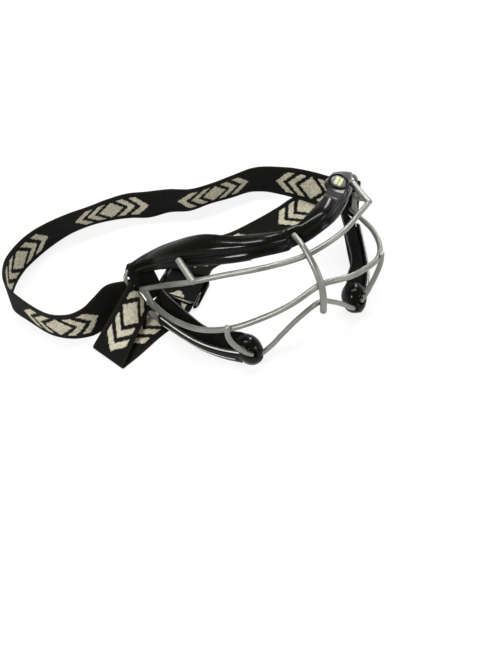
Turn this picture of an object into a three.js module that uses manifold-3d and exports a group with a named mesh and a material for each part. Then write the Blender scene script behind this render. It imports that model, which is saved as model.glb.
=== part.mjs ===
import * as THREE from 'three';
import { mergeVertices } from 'three/addons/utils/BufferGeometryUtils.js';
import Module from 'manifold-3d';

// Lacrosse goggles at rest on a table: a welded wire cage under a moulded brow bar, two padded
// cheek pieces, and an endless elastic strap round a wire loop at each temple.
// X runs to the right seen from the front, Y back towards the wearer, Z up. Millimetres.

const wasm = await Module();
wasm.setup();

// Overall sizes of the frame as it lies
const halfWidth = 86; // symmetry plane to the tip of the brow bar
const frameDepth = 98; // lowest bend of the nose bar to the tip of the brow bar
const browHeight = 82; // crest of the brow bar above the table

// Clearance between pieces that touch
const fitGap = 0.3;

// Wires, by diameter
const cageWire = 3.6;
const noseWire = 3.2;
const barWire = 4.2;
const postWire = 4;
const strutWire = 3.4;
const loopWire = 2.6;
const linkWire = 2.2;
const wireSides = 8;
const wireStep = 5;
const loopStep = 2.2;
const loopBend = 3;
const collarWall = 1;
const collarHeight = 1.3;

// Brow bar
const browWall = 2.2;
const browGroove = 0.9;
const browPadDepth = 12;
const browPadDrop = 6;
const browPadRound = 2.4;
const browEndRound = 1.6;
const browPadEndRound = 2;

// Round badge on the brow bar's right lobe
const badgeRadius = 5;
const badgeHeight = 1.6;
const badgeSeat = 0.5; // face of the badge below the rim of its boss
const bossRim = 1.4;
const bossHeight = 5;
const bossRound = 0.6;
const badgeSides = 28;

// Cheek pieces
const cheekWall = 1.8;
const cheekCrown = 1;
const cheekGroove = 0.5;
const cheekEndRound = 1.4;
const cheekPadCrown = 1.3;
const cheekPadRound = 2.2;
const cheekPadInset = 1;
const templePadThick = 7.6;
const templePadRound = 1.6;
const footRadius = 8.4;
const footLength = 10.2;
const footHeight = 19;
const footFlat = 0.6; // depth of the flat cut under the foot
const footSides = 20;

// Strap
const strapWidth = 25.4;
const strapThick = 1.3;
const strapReach = 86; // temple loops to the back of the strap
const strapFold = 1.9; // radius of the fold on the table
const barSlack = 1.7; // bare loop wire past each edge of the strap
const barPlay = 0.6; // strap clear of the loop wire

// Slider on the strap
const sliderLength = 25;
const sliderRail = 2.4;
const sliderBar = 4.4;
const sliderPlate = 1.9;
const sliderRound = 4;
const sliderTravel = 4;

// Steps of the curved surfaces
const browSteps = 3;
const cheekSteps = 3;
const wrapSteps = 7;
const foldSteps = 6;
const strapSteps = 2;
const cornerSteps = 2;
const cornerShare = 0.42;

// Points on the frame: shares of half width, depth and height, right half, centre outwards
const browRidgeShares = [
  [0, -0.015, 0.945], [0.27, 0.01, 0.99], [0.42, 0.09, 0.95], [0.593, 0.205, 0.876],
  [0.81, 0.395, 0.726], [0.906, 0.528, 0.546], [0.99, 0.605, 0.4],
];
const browRearShares = [
  [0, 0.035, 0.97], [0.235, 0.1, 0.98], [0.365, 0.157, 0.966], [0.517, 0.295, 0.91],
  [0.703, 0.463, 0.725], [0.837, 0.563, 0.567], [0.962, 0.629, 0.422],
];
const browLowerShares = [
  [0, -0.05, 0.872], [0.275, -0.02, 0.882], [0.425, 0.052, 0.845], [0.598, 0.177, 0.765],
  [0.793, 0.35, 0.635], [0.898, 0.495, 0.471], [0.984, 0.585, 0.35],
];
const upperWireShares = [
  [0, -0.149, 0.913], [0.28, -0.128, 0.939], [0.535, -0.005, 0.854], [0.73, 0.112, 0.75],
  [0.798, 0.224, 0.617], [0.849, 0.347, 0.463], [0.942, 0.478, 0.311],
];
const lowerWireShares = [
  [0, -0.305, 0.773], [0.233, -0.311, 0.72], [0.407, -0.265, 0.628], [0.605, -0.184, 0.524],
  [0.758, -0.04, 0.406], [0.853, 0.141, 0.313], [0.892, 0.305, 0.234], [0.912, 0.454, 0.177],
];
const noseBarShares = [
  [0, 0.008, 0.966], [0, -0.08, 0.946], [0, -0.149, 0.913], [0, -0.235, 0.849],
  [0, -0.305, 0.773], [0, -0.342, 0.683], [0, -0.362, 0.549],
];
const noseWireShares = [
  [0, -0.317, 0.59], [0.143, -0.29, 0.452], [0.258, -0.277, 0.318], [0.343, -0.264, 0.2],
  [0.42, -0.235, 0.1], [0.46, -0.2, 0.08],
];
const postTopShare = [0.715, 0.303, 0.778];
const postFootShare = [0.728, 0.1, 0.755];
const strutTopShare = [0.635, -0.183, 0.56];
const strutFootShare = [0.475, -0.2, 0.11];
const loopCentreShare = [0.981, 0.501, 0.212];
const loopLeanShare = [0.235, 0.382];
const loopRootShare = [0.962, 0.61, 0.408];
const loopArmShare = [0.9, 0.35, 0.052];
const loopFootShare = [0.86, 0.24, 0.06];
const linkEndShares = [0.97, 0.925];
const badgeShare = [0.575, 0.268, 0.893];
const badgeLeanShare = [0.18, -0.08];

// Cross-sections of the two channels: place along a leg, then rise as a share of that leg
const browTopShares = [[1, 0], [0.7, 0.1], [0.38, 0.13], [0.1, 0.05]];
const browFaceShares = [[0.12, 0], [0.42, 0], [0.5, -1], [0.58, 0], [1, 0]];
const cheekWallShares = [[1, 0], [0.8, 1], [0.72, 0], [0.62, 1], [0.3, 1], [0.08, 0]];
const cheekSoleShares = [[0.12, 0], [0.5, 0], [1, 0]];
const wallLimitShare = 0.42;
const browPadSpanShares = [0.61, 0.945];
const padSeatShare = 1.9;
const browPadDropShares = [1, 1, 1, 1, 0.85, 0.5, 0.15];
const browPadDepthShares = [0.55, 0.7, 0.8, 1, 0.8, 0.5, 0.3];
const endRingShares = [[0.9, 0.6], [0.6, 1]];

// Edges of the cheek piece, rear to front
const cheekRimShares = [
  [0.9, 0.33, 0.134], [0.815, 0.155, 0.108], [0.73, 0.01, 0.112], [0.622, -0.118, 0.136],
  [0.535, -0.195, 0.155],
];
const cheekFootShares = [
  [0.905, 0.315, 0.032], [0.82, 0.15, 0.026], [0.738, 0.005, 0.02], [0.628, -0.122, 0.016],
  [0.54, -0.2, 0.016],
];
const cheekBackShares = [
  [0.785, 0.43, 0.238], [0.695, 0.25, 0.185], [0.622, 0.092, 0.152], [0.507, -0.015, 0.17],
  [0.44, -0.09, 0.2],
];
const cheekInnerShares = [
  [0.805, 0.385, 0.042], [0.712, 0.21, 0.03], [0.635, 0.07, 0.02], [0.535, -0.03, 0.016],
  [0.47, -0.11, 0.016],
];
// Rear end of the cheek pad, behind the shell: rim, sill, back edge, inner edge
const padHeelShares = [
  [0.89, 0.4, 0.165], [0.878, 0.393, 0.09], [0.791, 0.457, 0.254], [0.808, 0.434, 0.09],
];
const footShare = [0.466, -0.163];
const footTurnShare = [0.35, 0.94];

// Temple pad, bottom to top: its outer and its inner edge
const templeOuterShares = [
  [0.883, 0.455, 0.2], [0.926, 0.486, 0.262], [0.962, 0.53, 0.36], [0.966, 0.573, 0.44],
];
const templeInnerShares = [
  [0.787, 0.454, 0.25], [0.794, 0.469, 0.317], [0.806, 0.498, 0.402], [0.817, 0.52, 0.476],
];
const templeDepthShare = [-0.05, 0.93, -0.36];

// Strap, low edge then lean: shares of half width, strap reach and strap width, seen from above
const outerRunShares = [
  [0.831, 0.098, 0.17, 0.19, 0.31], [0.733, 0.26, 0.14, 0.14, 0.23],
  [0.635, 0.41, 0.105, 0.08, 0.13], [0.57, 0.516, 0.03, 0.03, 0.05], [0.52, 0.58, 0, 0, 0],
  [0.453, 0.627, 0, 0, -0.04], [0.378, 0.662, 0, 0, -0.08], [0.198, 0.685, 0, 0, -0.13],
  [0.023, 0.714, 0, 0, -0.2], [-0.163, 0.728, 0, 0, -0.15], [-0.314, 0.798, 0, 0, -0.1],
  [-0.488, 0.831, 0, 0, 0.02], [-0.628, 0.906, 0, 0, -0.04], [-0.79, 0.964, 0, 0, -0.16],
  [-0.953, 0.995, 0, 0, -0.24], [-1.134, 0.993, 0, 0, -0.2], [-1.326, 0.945, 0, 0, -0.08],
  [-1.46, 0.893, 0, 0, 0], [-1.593, 0.824, 0, 0, 0.02], [-1.709, 0.72, 0, 0, 0.06],
  [-1.78, 0.61, 0, 0.02, 0.02], [-1.8, 0.497, 0, 0.04, 0], [-1.738, 0.342, 0, -0.02, 0],
  [-1.651, 0.162, 0, -0.03, 0], [-1.593, 0.092, 0, -0.04, 0], [-1.535, 0.045, 0, -0.03, 0.02],
  [-1.472, 0.01, 0, -0.03, 0.06], [-1.37, -0.019, 0, -0.03, 0.19],
  [-1.244, -0.009, 0.03, -0.1, 0.33], [-1.105, 0.016, 0.12, -0.16, 0.38],
];
const foldShare = [-1.343, -0.26];
const foldLeanShare = [-0.38, 0.925];
const innerRunShares = [
  [-1.153, -0.359, 0, -0.292, 0.956], [-0.957, -0.293, 0, -0.292, 0.956],
  [-0.822, -0.258, 0, -0.342, 0.94],
];
const sliderShare = [-0.593, 0.028];
const sliderHeadingShare = [0.788, 0.616];
const backRunShares = [
  [-0.3, 0.075, 0.02, -0.342, 0.94], [-0.176, 0.088, 0, -0.07, 0.998],
  [-0.009, 0.043, 0, -0.035, 0.999], [0.308, 0.058, 0, -0.105, 0.994],
  [0.547, 0.095, 0, -0.156, 0.988], [0.674, 0.12, 0, -0.12, 0.993],
  [0.76, 0.115, 0.005, 0.05, 0.985], [0.85, 0.074, 0.02, 0.15, 0.83],
  [0.916, 0.017, 0.14, 0.21, 0.58],
];
const rightArrivalShare = [0.55, -0.83, 0];
const leftArrivalShare = [1, 0, 0];
const rightWrapSpan = Math.PI;
const leftWrapSpan = 0.87 * Math.PI;
const foldStart = 0.12 * Math.PI;

const place = ([x, y, z]) => new THREE.Vector3(x * halfWidth, y * frameDepth, z * browHeight);
const flip = (point) => new THREE.Vector3(-point.x, point.y, point.z);
const shift = (point, along, distance) => point.clone().addScaledVector(along, distance);

// Vector of length one that leans by two shares and rises with what is left
function leaning([x, y]) {
  const rise = Math.sqrt(Math.max(1 - x * x - y * y, 0));
  return new THREE.Vector3(x, y, rise).normalize();
}

const halfCurve = (shares) => new THREE.CatmullRomCurve3(shares.map(place));

function fullCurve(shares) {
  const right = shares.map(place);
  const left = right.slice(1).reverse().map(flip);
  return new THREE.CatmullRomCurve3([...left, ...right]);
}

// Solid from a closed mesh, and back
function solidOf(geometry) {
  geometry.deleteAttribute('normal');
  geometry.deleteAttribute('uv');
  const merged = mergeVertices(geometry);
  const vertProperties = new Float32Array(merged.attributes.position.array);
  const triVerts = new Uint32Array(merged.index.array);
  return new wasm.Manifold(new wasm.Mesh({ numProp: 3, vertProperties, triVerts }));
}

function geometryOf(solid) {
  const mesh = solid.getMesh();
  const geometry = new THREE.BufferGeometry();
  geometry.setAttribute('position', new THREE.BufferAttribute(mesh.vertProperties, 3));
  geometry.setIndex(new THREE.BufferAttribute(mesh.triVerts, 1));
  return geometry;
}

// Solid through rings of matched points, capped at both ends or joined into a loop
function loft(rings, looped = false) {
  const count = rings[0].length;
  const triangles = [];
  const quad = (a, b, c, d) => triangles.push([a, b, c], [a, c, d]);
  const spans = looped ? rings.length : rings.length - 1;
  for (let i = 0; i < spans; i++) {
    const here = i * count;
    const next = ((i + 1) % rings.length) * count;
    for (let j = 0; j < count; j++) {
      const k = (j + 1) % count;
      quad(here + j, next + j, next + k, here + k);
    }
  }
  const cap = (start, turned) => {
    let low = 0;
    let high = count - 1;
    const add = (a, b, c) => {
      triangles.push(turned ? [start + c, start + b, start + a] : [start + a, start + b, start + c]);
    };
    while (high - low > 1) {
      add(low, low + 1, high);
      low += 1;
      if (high - low > 1) {
        add(low, high - 1, high);
        high -= 1;
      }
    }
  };
  if (!looped) {
    cap(0, false);
    cap((rings.length - 1) * count, true);
  }
  const points = rings.flat();
  const volume = triangles.reduce((sum, [a, b, c]) => {
    return sum + points[a].dot(points[b].clone().cross(points[c]));
  }, 0);
  const outward = volume > 0 ? triangles : triangles.map(([a, b, c]) => [c, b, a]);
  const geometry = new THREE.BufferGeometry().setFromPoints(points);
  geometry.setIndex(outward.flat());
  return solidOf(geometry);
}

const centreOf = (ring) => {
  const sum = ring.reduce((total, point) => total.add(point), new THREE.Vector3());
  return sum.divideScalar(ring.length);
};

// Rings with both ends drawn in, so that the solid ends round
function roundEnds(rings, depth) {
  const ends = (first, second) => {
    const centre = centreOf(first);
    const out = centre.clone().sub(centreOf(second)).normalize();
    return endRingShares.map(([size, reach]) => first.map((point) => {
      const drawn = centre.clone().lerp(point, size);
      return drawn.addScaledVector(out, depth * reach);
    }));
  };
  const before = ends(rings[0], rings[1]).reverse();
  const after = ends(rings.at(-1), rings.at(-2));
  return [...before, ...rings, ...after];
}

// Ring through corners with each corner rounded off
function roundedRing(corners, radius) {
  const count = corners.length;
  return corners.flatMap((corner, i) => {
    const towards = (other) => {
      const share = Math.min(radius / corner.distanceTo(other), cornerShare);
      return corner.clone().lerp(other, share);
    };
    const start = towards(corners[(i + count - 1) % count]);
    const end = towards(corners[(i + 1) % count]);
    const bend = new THREE.QuadraticBezierCurve3(start, corner, end);
    return bend.getPoints(cornerSteps);
  });
}

// Ring of a channel: two legs that meet in a corner, each with a wall behind its outline
function channelRing(corner, firstEnd, secondEnd, wall, firstOutline, secondOutline) {
  const firstLeg = firstEnd.clone().sub(corner);
  const secondLeg = secondEnd.clone().sub(corner);
  const first = firstLeg.clone().normalize();
  const second = secondLeg.clone().normalize();
  const firstLength = firstLeg.length();
  const secondLength = secondLeg.length();
  const thick = Math.min(wall, wallLimitShare * Math.min(firstLength, secondLength));
  const outer = [];
  const inner = [];
  for (const [at, rise] of firstOutline) {
    outer.push(shift(shift(corner, first, at * firstLength), second, -rise));
    const back = thick + at * (firstLength - thick);
    inner.push(shift(shift(corner, first, back), second, thick));
  }
  for (const [at, rise] of secondOutline) {
    outer.push(shift(shift(corner, second, at * secondLength), first, -rise));
    const down = thick + at * (secondLength - thick);
    inner.push(shift(shift(corner, second, down), first, thick));
  }
  return [...outer, ...inner.reverse()];
}

// Round bar along a curve
function wireAlong(curve, diameter, step = wireStep) {
  const outline = Array.from({ length: wireSides }, (_, i) => {
    const angle = (2 * Math.PI * i) / wireSides;
    return new THREE.Vector2(Math.cos(angle), Math.sin(angle)).multiplyScalar(diameter / 2);
  });
  const steps = Math.max(Math.round(curve.getLength() / step), 1);
  const options = { extrudePath: curve, steps, bevelEnabled: false };
  return solidOf(new THREE.ExtrudeGeometry(new THREE.Shape(outline), options));
}

const grownWire = (curve, diameter, step) => wireAlong(curve, diameter + 2 * fitGap, step);

// Solid made larger by the clearance on every side
function grown(solid) {
  const signs = [-fitGap, fitGap];
  const ways = signs.flatMap((x) => signs.flatMap((y) => signs.map((z) => [x, y, z])));
  return wasm.Manifold.union(ways.map((way) => solid.translate(way)));
}

// The largest body that is left after a cut
function cut(solid, ...tools) {
  const left = tools.reduce((rest, tool) => rest.subtract(tool), solid);
  const bodies = left.decompose();
  return bodies.reduce((best, body) => (body.volume() > best.volume() ? body : best));
}

const mirrored = (solid) => solid.mirror([1, 0, 0]);

// Curves of the frame
const ridge = fullCurve(browRidgeShares);
const rear = fullCurve(browRearShares);
const lower = fullCurve(browLowerShares);
const upperCurve = fullCurve(upperWireShares);
const lowerCurve = fullCurve(lowerWireShares);
const noseBarCurve = halfCurve(noseBarShares);
const noseWireCurve = fullCurve(noseWireShares);

// Brow shell
const browSpans = 2 * (browRidgeShares.length - 1);
const browCount = browSpans * browSteps;
const browRings = Array.from({ length: browCount + 1 }, (_, i) => {
  const at = i / browCount;
  const corner = ridge.getPoint(at);
  const back = rear.getPoint(at);
  const front = lower.getPoint(at);
  const topLength = corner.distanceTo(back);
  const top = browTopShares.map(([along, rise]) => [along, rise * topLength]);
  const face = browFaceShares.map(([along, rise]) => [along, rise * browGroove]);
  return channelRing(corner, back, front, browWall, top, face);
});
const browWhole = loft(roundEnds(browRings, browEndRound));

// Badge and the boss that holds it
const badgeAxis = leaning(badgeLeanShare);
const badgePoint = place(badgeShare);
function disc(radius, from, to, round = 0) {
  const profile = [
    [0, from], [radius, from], [radius, to - round], [radius - round, to], [0, to],
  ].map(([x, y]) => new THREE.Vector2(x, y));
  const points = round > 0 ? profile : profile.filter((_, i) => i !== 3);
  const solid = new THREE.LatheGeometry(points, badgeSides);
  const turn = new THREE.Quaternion().setFromUnitVectors(new THREE.Vector3(0, 1, 0), badgeAxis);
  solid.applyQuaternion(turn);
  solid.translate(badgePoint.x, badgePoint.y, badgePoint.z);
  return solidOf(solid);
}
const bossRadius = badgeRadius + fitGap + bossRim;
const badgeTop = -badgeSeat;
const badgeBottom = badgeTop - badgeHeight;
const boss = disc(bossRadius, -bossHeight, 0, bossRound);
const recess = disc(badgeRadius + fitGap, badgeBottom - fitGap, bossHeight);
const badge = disc(badgeRadius, badgeBottom, badgeTop, bossRound);
const noseBarGrown = grownWire(noseBarCurve, barWire);
const noseBar = wireAlong(noseBarCurve, barWire);
const browShell = cut(browWhole.add(boss), recess, grown(noseBar));
const browGrown = grown(browShell);

// Brow pad, right half
const padRingAt = (at) => {
  const corner = ridge.getPoint(at);
  const back = rear.getPoint(at);
  const front = lower.getPoint(at);
  const inwards = back.clone().sub(corner).normalize();
  const down = front.clone().sub(corner).normalize();
  const rightIndex = at * browSpans - browSpans / 2;
  const along = (table) => {
    const low = Math.min(Math.floor(rightIndex), table.length - 2);
    return THREE.MathUtils.lerp(table[low], table[low + 1], rightIndex - low);
  };
  const short = Math.min(corner.distanceTo(back), corner.distanceTo(front));
  const wall = Math.min(browWall, wallLimitShare * short) + padSeatShare * fitGap;
  const plumb = new THREE.Vector3(0, 0, -1);
  const drop = browPadDrop * along(browPadDropShares);
  const depth = browPadDepth * along(browPadDepthShares);
  const frontTop = shift(shift(corner, inwards, wall), down, wall);
  const backTop = shift(shift(back, down, wall), inwards, -fitGap);
  const frontMid = shift(front, inwards, wall);
  const frontLow = shift(frontMid, plumb, drop);
  const backLow = shift(frontLow, inwards, depth);
  return roundedRing([frontTop, frontMid, frontLow, backLow, backTop], browPadRound);
};
const [padFrom, padTo] = browPadSpanShares.map((share) => Math.round(share * browCount));
const padRings = Array.from({ length: padTo - padFrom + 1 }, (_, i) => {
  return padRingAt((padFrom + i) / browCount);
});
const bossGrown = disc(bossRadius + fitGap, -bossHeight - fitGap, 0);
const browPad = cut(loft(roundEnds(padRings, browPadEndRound)), bossGrown);

// Nose bar, and the cage wires welded to its sides
const halfOf = (curve, diameter) => {
  const whole = wireAlong(curve, diameter).subtract(noseBarGrown);
  return cut(whole.trimByPlane([1, 0, 0], 0));
};
const upperWire = halfOf(upperCurve, cageWire);
const lowerWire = halfOf(lowerCurve, cageWire);
const upperGrown = grownWire(upperCurve, cageWire);
const lowerGrown = grownWire(lowerCurve, cageWire);

// Front foot of the cheek piece
const footCentre = new THREE.Vector3(footShare[0] * halfWidth, footShare[1] * frameDepth, 0);
function footSolid(gap) {
  const shape = new THREE.SphereGeometry(1, footSides, footSides / 2);
  shape.rotateX(Math.PI / 2);
  shape.scale(footRadius + gap, footLength + gap, footHeight / 2 + gap);
  shape.rotateZ(Math.atan2(footTurnShare[1], footTurnShare[0]) - Math.PI / 2);
  shape.translate(footCentre.x, footCentre.y, footHeight / 2 - footFlat);
  return solidOf(shape);
}
const footWhole = footSolid(0).trimByPlane([0, 0, 1], 0);

// Point where a line leaves the foot's oval
function leavingFoot(from, way) {
  const turn = Math.PI / 2 - Math.atan2(footTurnShare[1], footTurnShare[0]);
  const radii = new THREE.Vector3(footRadius, footLength, footHeight / 2);
  const up = new THREE.Vector3(0, 0, 1);
  const middle = footCentre.clone().setZ(footHeight / 2 - footFlat);
  const start = from.clone().sub(middle).applyAxisAngle(up, turn).divide(radii);
  const step = way.clone().applyAxisAngle(up, turn).divide(radii);
  const half = start.dot(step) / step.lengthSq();
  const spare = Math.max(half * half - (start.lengthSq() - 1) / step.lengthSq(), 0);
  return shift(from, way, Math.sqrt(spare) - half);
}
const footGrown = footSolid(fitGap);
const cheekFoot = cut(footWhole);

// Nose wire behind the nose bar, from foot to foot
const noseSpan = cut(wireAlong(noseWireCurve, noseWire), footGrown, mirrored(footGrown));
const noseSpanGrown = grownWire(noseWireCurve, noseWire);

// Post from the brow bar to the upper wire, strut from the lower wire to the foot
const postCurve = new THREE.LineCurve3(place(postFootShare), place(postTopShare));
const post = cut(wireAlong(postCurve, postWire), browGrown, upperGrown);
const strutCurve = new THREE.LineCurve3(place(strutFootShare), place(strutTopShare));
const strut = cut(wireAlong(strutCurve, strutWire), footGrown, lowerGrown);
const strutHole = grownWire(strutCurve, strutWire);
const strutWay = place(strutTopShare).sub(place(strutFootShare)).normalize();
const strutExit = leavingFoot(place(strutFootShare), strutWay);
const collarEnds = [-collarHeight, collarHeight].map((reach) => shift(strutExit, strutWay, reach));
const collarCurve = new THREE.LineCurve3(...collarEnds);
const collarWire = strutWire + 2 * (fitGap + collarWall);
const collar = cut(wireAlong(collarCurve, collarWire), strutHole, footGrown);

// Cheek shell and pad
const rim = halfCurve(cheekRimShares);
const sill = halfCurve(cheekFootShares);
const innerEdge = halfCurve(cheekInnerShares);
const cheekCount = (cheekRimShares.length - 1) * cheekSteps;
const cheekPlaces = Array.from({ length: cheekCount + 1 }, (_, i) => i / cheekCount);
const cheekRings = cheekPlaces.map((at) => {
  const wall = cheekWallShares.map(([along, rise], i) => {
    const groove = i === 2 ? cheekCrown - cheekGroove : 0;
    return [along, rise * cheekCrown + groove];
  });
  const sole = cheekSoleShares.map(([along]) => [along, 0]);
  const corner = sill.getPoint(at);
  return channelRing(corner, rim.getPoint(at), innerEdge.getPoint(at), cheekWall, wall, sole);
});
const [padRim, padSill, padBack, padInner] = [
  cheekRimShares, cheekFootShares, cheekBackShares, cheekInnerShares,
].map((shares, i) => halfCurve([padHeelShares[i], ...shares]));
const cheekPadCount = cheekRimShares.length * cheekSteps;
const cheekPadPlaces = Array.from({ length: cheekPadCount + 1 }, (_, i) => i / cheekPadCount);
const cheekPadRings = cheekPadPlaces.map((at) => {
  const corner = padSill.getPoint(at);
  const top = padRim.getPoint(at);
  const inner = padInner.getPoint(at);
  const up = top.clone().sub(corner).normalize();
  const inwards = inner.clone().sub(corner).normalize();
  const offset = cheekWall + fitGap;
  const low = shift(shift(corner, up, offset), inwards, offset);
  const high = shift(shift(top, up, -cheekPadInset), inwards, offset);
  const crest = padBack.getPoint(at);
  const middle = high.clone().lerp(crest, 1 / 2);
  const out = inwards.clone().negate().add(up).normalize();
  const crown = shift(middle, out, cheekPadCrown);
  const heel = shift(shift(inner, up, offset), inwards, -fitGap);
  return roundedRing([low, high, crown, crest, heel], cheekPadRound);
});
const cheekShell = cut(loft(roundEnds(cheekRings, cheekEndRound)), footGrown, noseSpanGrown);
const cheekShellGrown = grown(cheekShell);

// Temple loop: brow bar, bend, upright bar, bend, arm, cheek shell
const barAxis = leaning(loopLeanShare);
const barCentre = place(loopCentreShare);
const barReach = strapWidth / 2 + barSlack + loopBend / 2;
const loopCorners = [
  place(loopRootShare), shift(barCentre, barAxis, barReach), shift(barCentre, barAxis, -barReach),
  place(loopArmShare), place(loopFootShare),
];
function bentPath(corners, radius) {
  const path = new THREE.CurvePath();
  let from = corners[0];
  for (let i = 1; i < corners.length - 1; i++) {
    const towards = (other) => {
      const share = Math.min(radius / corners[i].distanceTo(other), cornerShare);
      return corners[i].clone().lerp(other, share);
    };
    const start = towards(corners[i - 1]);
    const end = towards(corners[i + 1]);
    path.add(new THREE.LineCurve3(from, start));
    path.add(new THREE.QuadraticBezierCurve3(start, corners[i], end));
    from = end;
  }
  path.add(new THREE.LineCurve3(from, corners.at(-1)));
  return path;
}
const loopPath = bentPath(loopCorners, loopBend);
const loopWhole = wireAlong(loopPath, loopWire, loopStep);
const templeLoop = cut(loopWhole, browGrown, cheekShellGrown);

// Cheek pad round the wires that enter the cheek piece
const cheekPadWhole = loft(roundEnds(cheekPadRings, cheekEndRound));
const loopGrown = wireAlong(loopPath, loopWire + 2 * fitGap, loopStep);
const cheekPadCuts = [footGrown, cheekShellGrown, noseSpanGrown, strutHole, loopGrown];
const cheekPad = cut(cheekPadWhole, ...cheekPadCuts);

// Temple pad between the cheek pad and the brow bar
const templeOuter = halfCurve(templeOuterShares);
const templeInner = halfCurve(templeInnerShares);
const templeDepth = new THREE.Vector3(...templeDepthShare).normalize();
const templeCount = (templeOuterShares.length - 1) * 2;
const templeRings = Array.from({ length: templeCount + 1 }, (_, i) => {
  const outer = templeOuter.getPoint(i / templeCount);
  const inner = templeInner.getPoint(i / templeCount);
  const behind = [inner, outer].map((point) => shift(point, templeDepth, templePadThick));
  return roundedRing([outer, inner, ...behind], templePadRound);
});
const templeWhole = loft(roundEnds(templeRings, templePadRound));
const templePad = cut(templeWhole, browGrown, grown(browPad), grown(cheekPad));

// Links between the rear ends of the cage wires
const linkAt = (share) => {
  const half = (whole) => whole.getPoint((1 + share) / 2);
  const line = new THREE.LineCurve3(half(lowerCurve), half(upperCurve));
  return cut(wireAlong(line, linkWire), upperGrown, lowerGrown);
};
const links = linkEndShares.map(linkAt);

// Strap: pairs of edge points all the way round the loop
const strapBase = barCentre.y;
const station = ([x, y, rise, leanX, leanY]) => {
  const wide = leaning([leanX, leanY]);
  const lying = Math.sqrt(Math.max(1 - wide.z * wide.z, 0));
  const height = rise * strapWidth + (lying * strapThick) / 2;
  const low = new THREE.Vector3(x * halfWidth, strapBase + y * strapReach, height);
  return [low, shift(low, wide, strapWidth)];
};
const wrapRadius = loopWire / 2 + barPlay + strapThick / 2;
const across = (centre, wide) => {
  return [shift(centre, wide, -strapWidth / 2), shift(centre, wide, strapWidth / 2)];
};
function wrapped(centre, axis, arrival, side, span) {
  const ahead = new THREE.Vector3(...arrival).projectOnPlane(axis).normalize();
  const out = ahead.clone().cross(axis).multiplyScalar(side);
  return Array.from({ length: wrapSteps + 1 }, (_, i) => {
    const angle = (span * i) / wrapSteps;
    const spot = shift(centre, out, wrapRadius * Math.cos(angle));
    return across(shift(spot, ahead, wrapRadius * Math.sin(angle)), axis);
  });
}
const rightWrap = wrapped(barCentre, barAxis, rightArrivalShare, 1, rightWrapSpan).reverse();
const leftWrap = wrapped(flip(barCentre), flip(barAxis), leftArrivalShare, -1, leftWrapSpan);
const foldWide = new THREE.Vector3(...foldLeanShare, 0).normalize();
const foldOut = new THREE.Vector3(0, 0, 1).cross(foldWide);
const foldHeight = strapFold + strapThick / 2;
const foldY = strapBase + foldShare[1] * strapReach;
const foldCentre = new THREE.Vector3(foldShare[0] * halfWidth, foldY, foldHeight);
const tableFold = Array.from({ length: foldSteps + 1 }, (_, i) => {
  const angle = foldStart + ((Math.PI - foldStart) * i) / foldSteps;
  const spot = foldCentre.clone();
  spot.z += strapFold * Math.cos(angle);
  return across(shift(spot, foldOut, strapFold * Math.sin(angle)), foldWide);
});
const sliderHeading = new THREE.Vector3(...sliderHeadingShare, 0).normalize();
const sliderAcross = new THREE.Vector3(-sliderHeading.y, sliderHeading.x, 0);
const sliderY = strapBase + sliderShare[1] * strapReach;
const sliderCentre = new THREE.Vector3(sliderShare[0] * halfWidth, sliderY, 0);
const strapLift = sliderPlate + fitGap + strapThick / 2;
const straightRun = [-1, -0.6, -0.2, 0.2, 0.6, 1].map((side) => {
  const spot = shift(sliderCentre, sliderHeading, side * (sliderLength / 2 + sliderTravel));
  spot.z = strapLift;
  return across(spot, sliderAcross);
});
const between = (one, two, share) => one.map((point, i) => point.clone().lerp(two[i], share));
const strapStations = [
  ...rightWrap.slice().reverse(), ...outerRunShares.map(station), ...leftWrap,
  between(leftWrap.at(-1), tableFold[0], 1 / 2), ...tableFold, ...innerRunShares.map(station),
  ...straightRun, ...backRunShares.map(station),
];
const edge = (i) => new THREE.CatmullRomCurve3(strapStations.map((pair) => pair[i]), true);
const lowEdge = edge(0);
const highEdge = edge(1);
const strapCount = strapStations.length * strapSteps;
const strapPlaces = Array.from({ length: strapCount }, (_, i) => {
  const pair = [lowEdge.getPoint(i / strapCount), highEdge.getPoint(i / strapCount)];
  const wide = pair[1].clone().sub(pair[0]).normalize();
  const lying = Math.sqrt(Math.max(1 - wide.z * wide.z, 0));
  const floor = (lying * strapThick) / 2;
  for (const point of pair) point.z = Math.max(point.z, floor);
  return pair;
});
const strapRings = strapPlaces.map(([low, high], i) => {
  const middle = (pair) => pair[0].clone().add(pair[1]).divideScalar(2);
  const before = middle(strapPlaces.at(i - 1));
  const after = middle(strapPlaces[(i + 1) % strapCount]);
  const wide = high.clone().sub(low);
  const out = after.sub(before).cross(wide).setLength(strapThick / 2);
  return [low.clone().sub(out), high.clone().sub(out), high.clone().add(out), low.clone().add(out)];
});
const strap = loft(strapRings, true);

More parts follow.
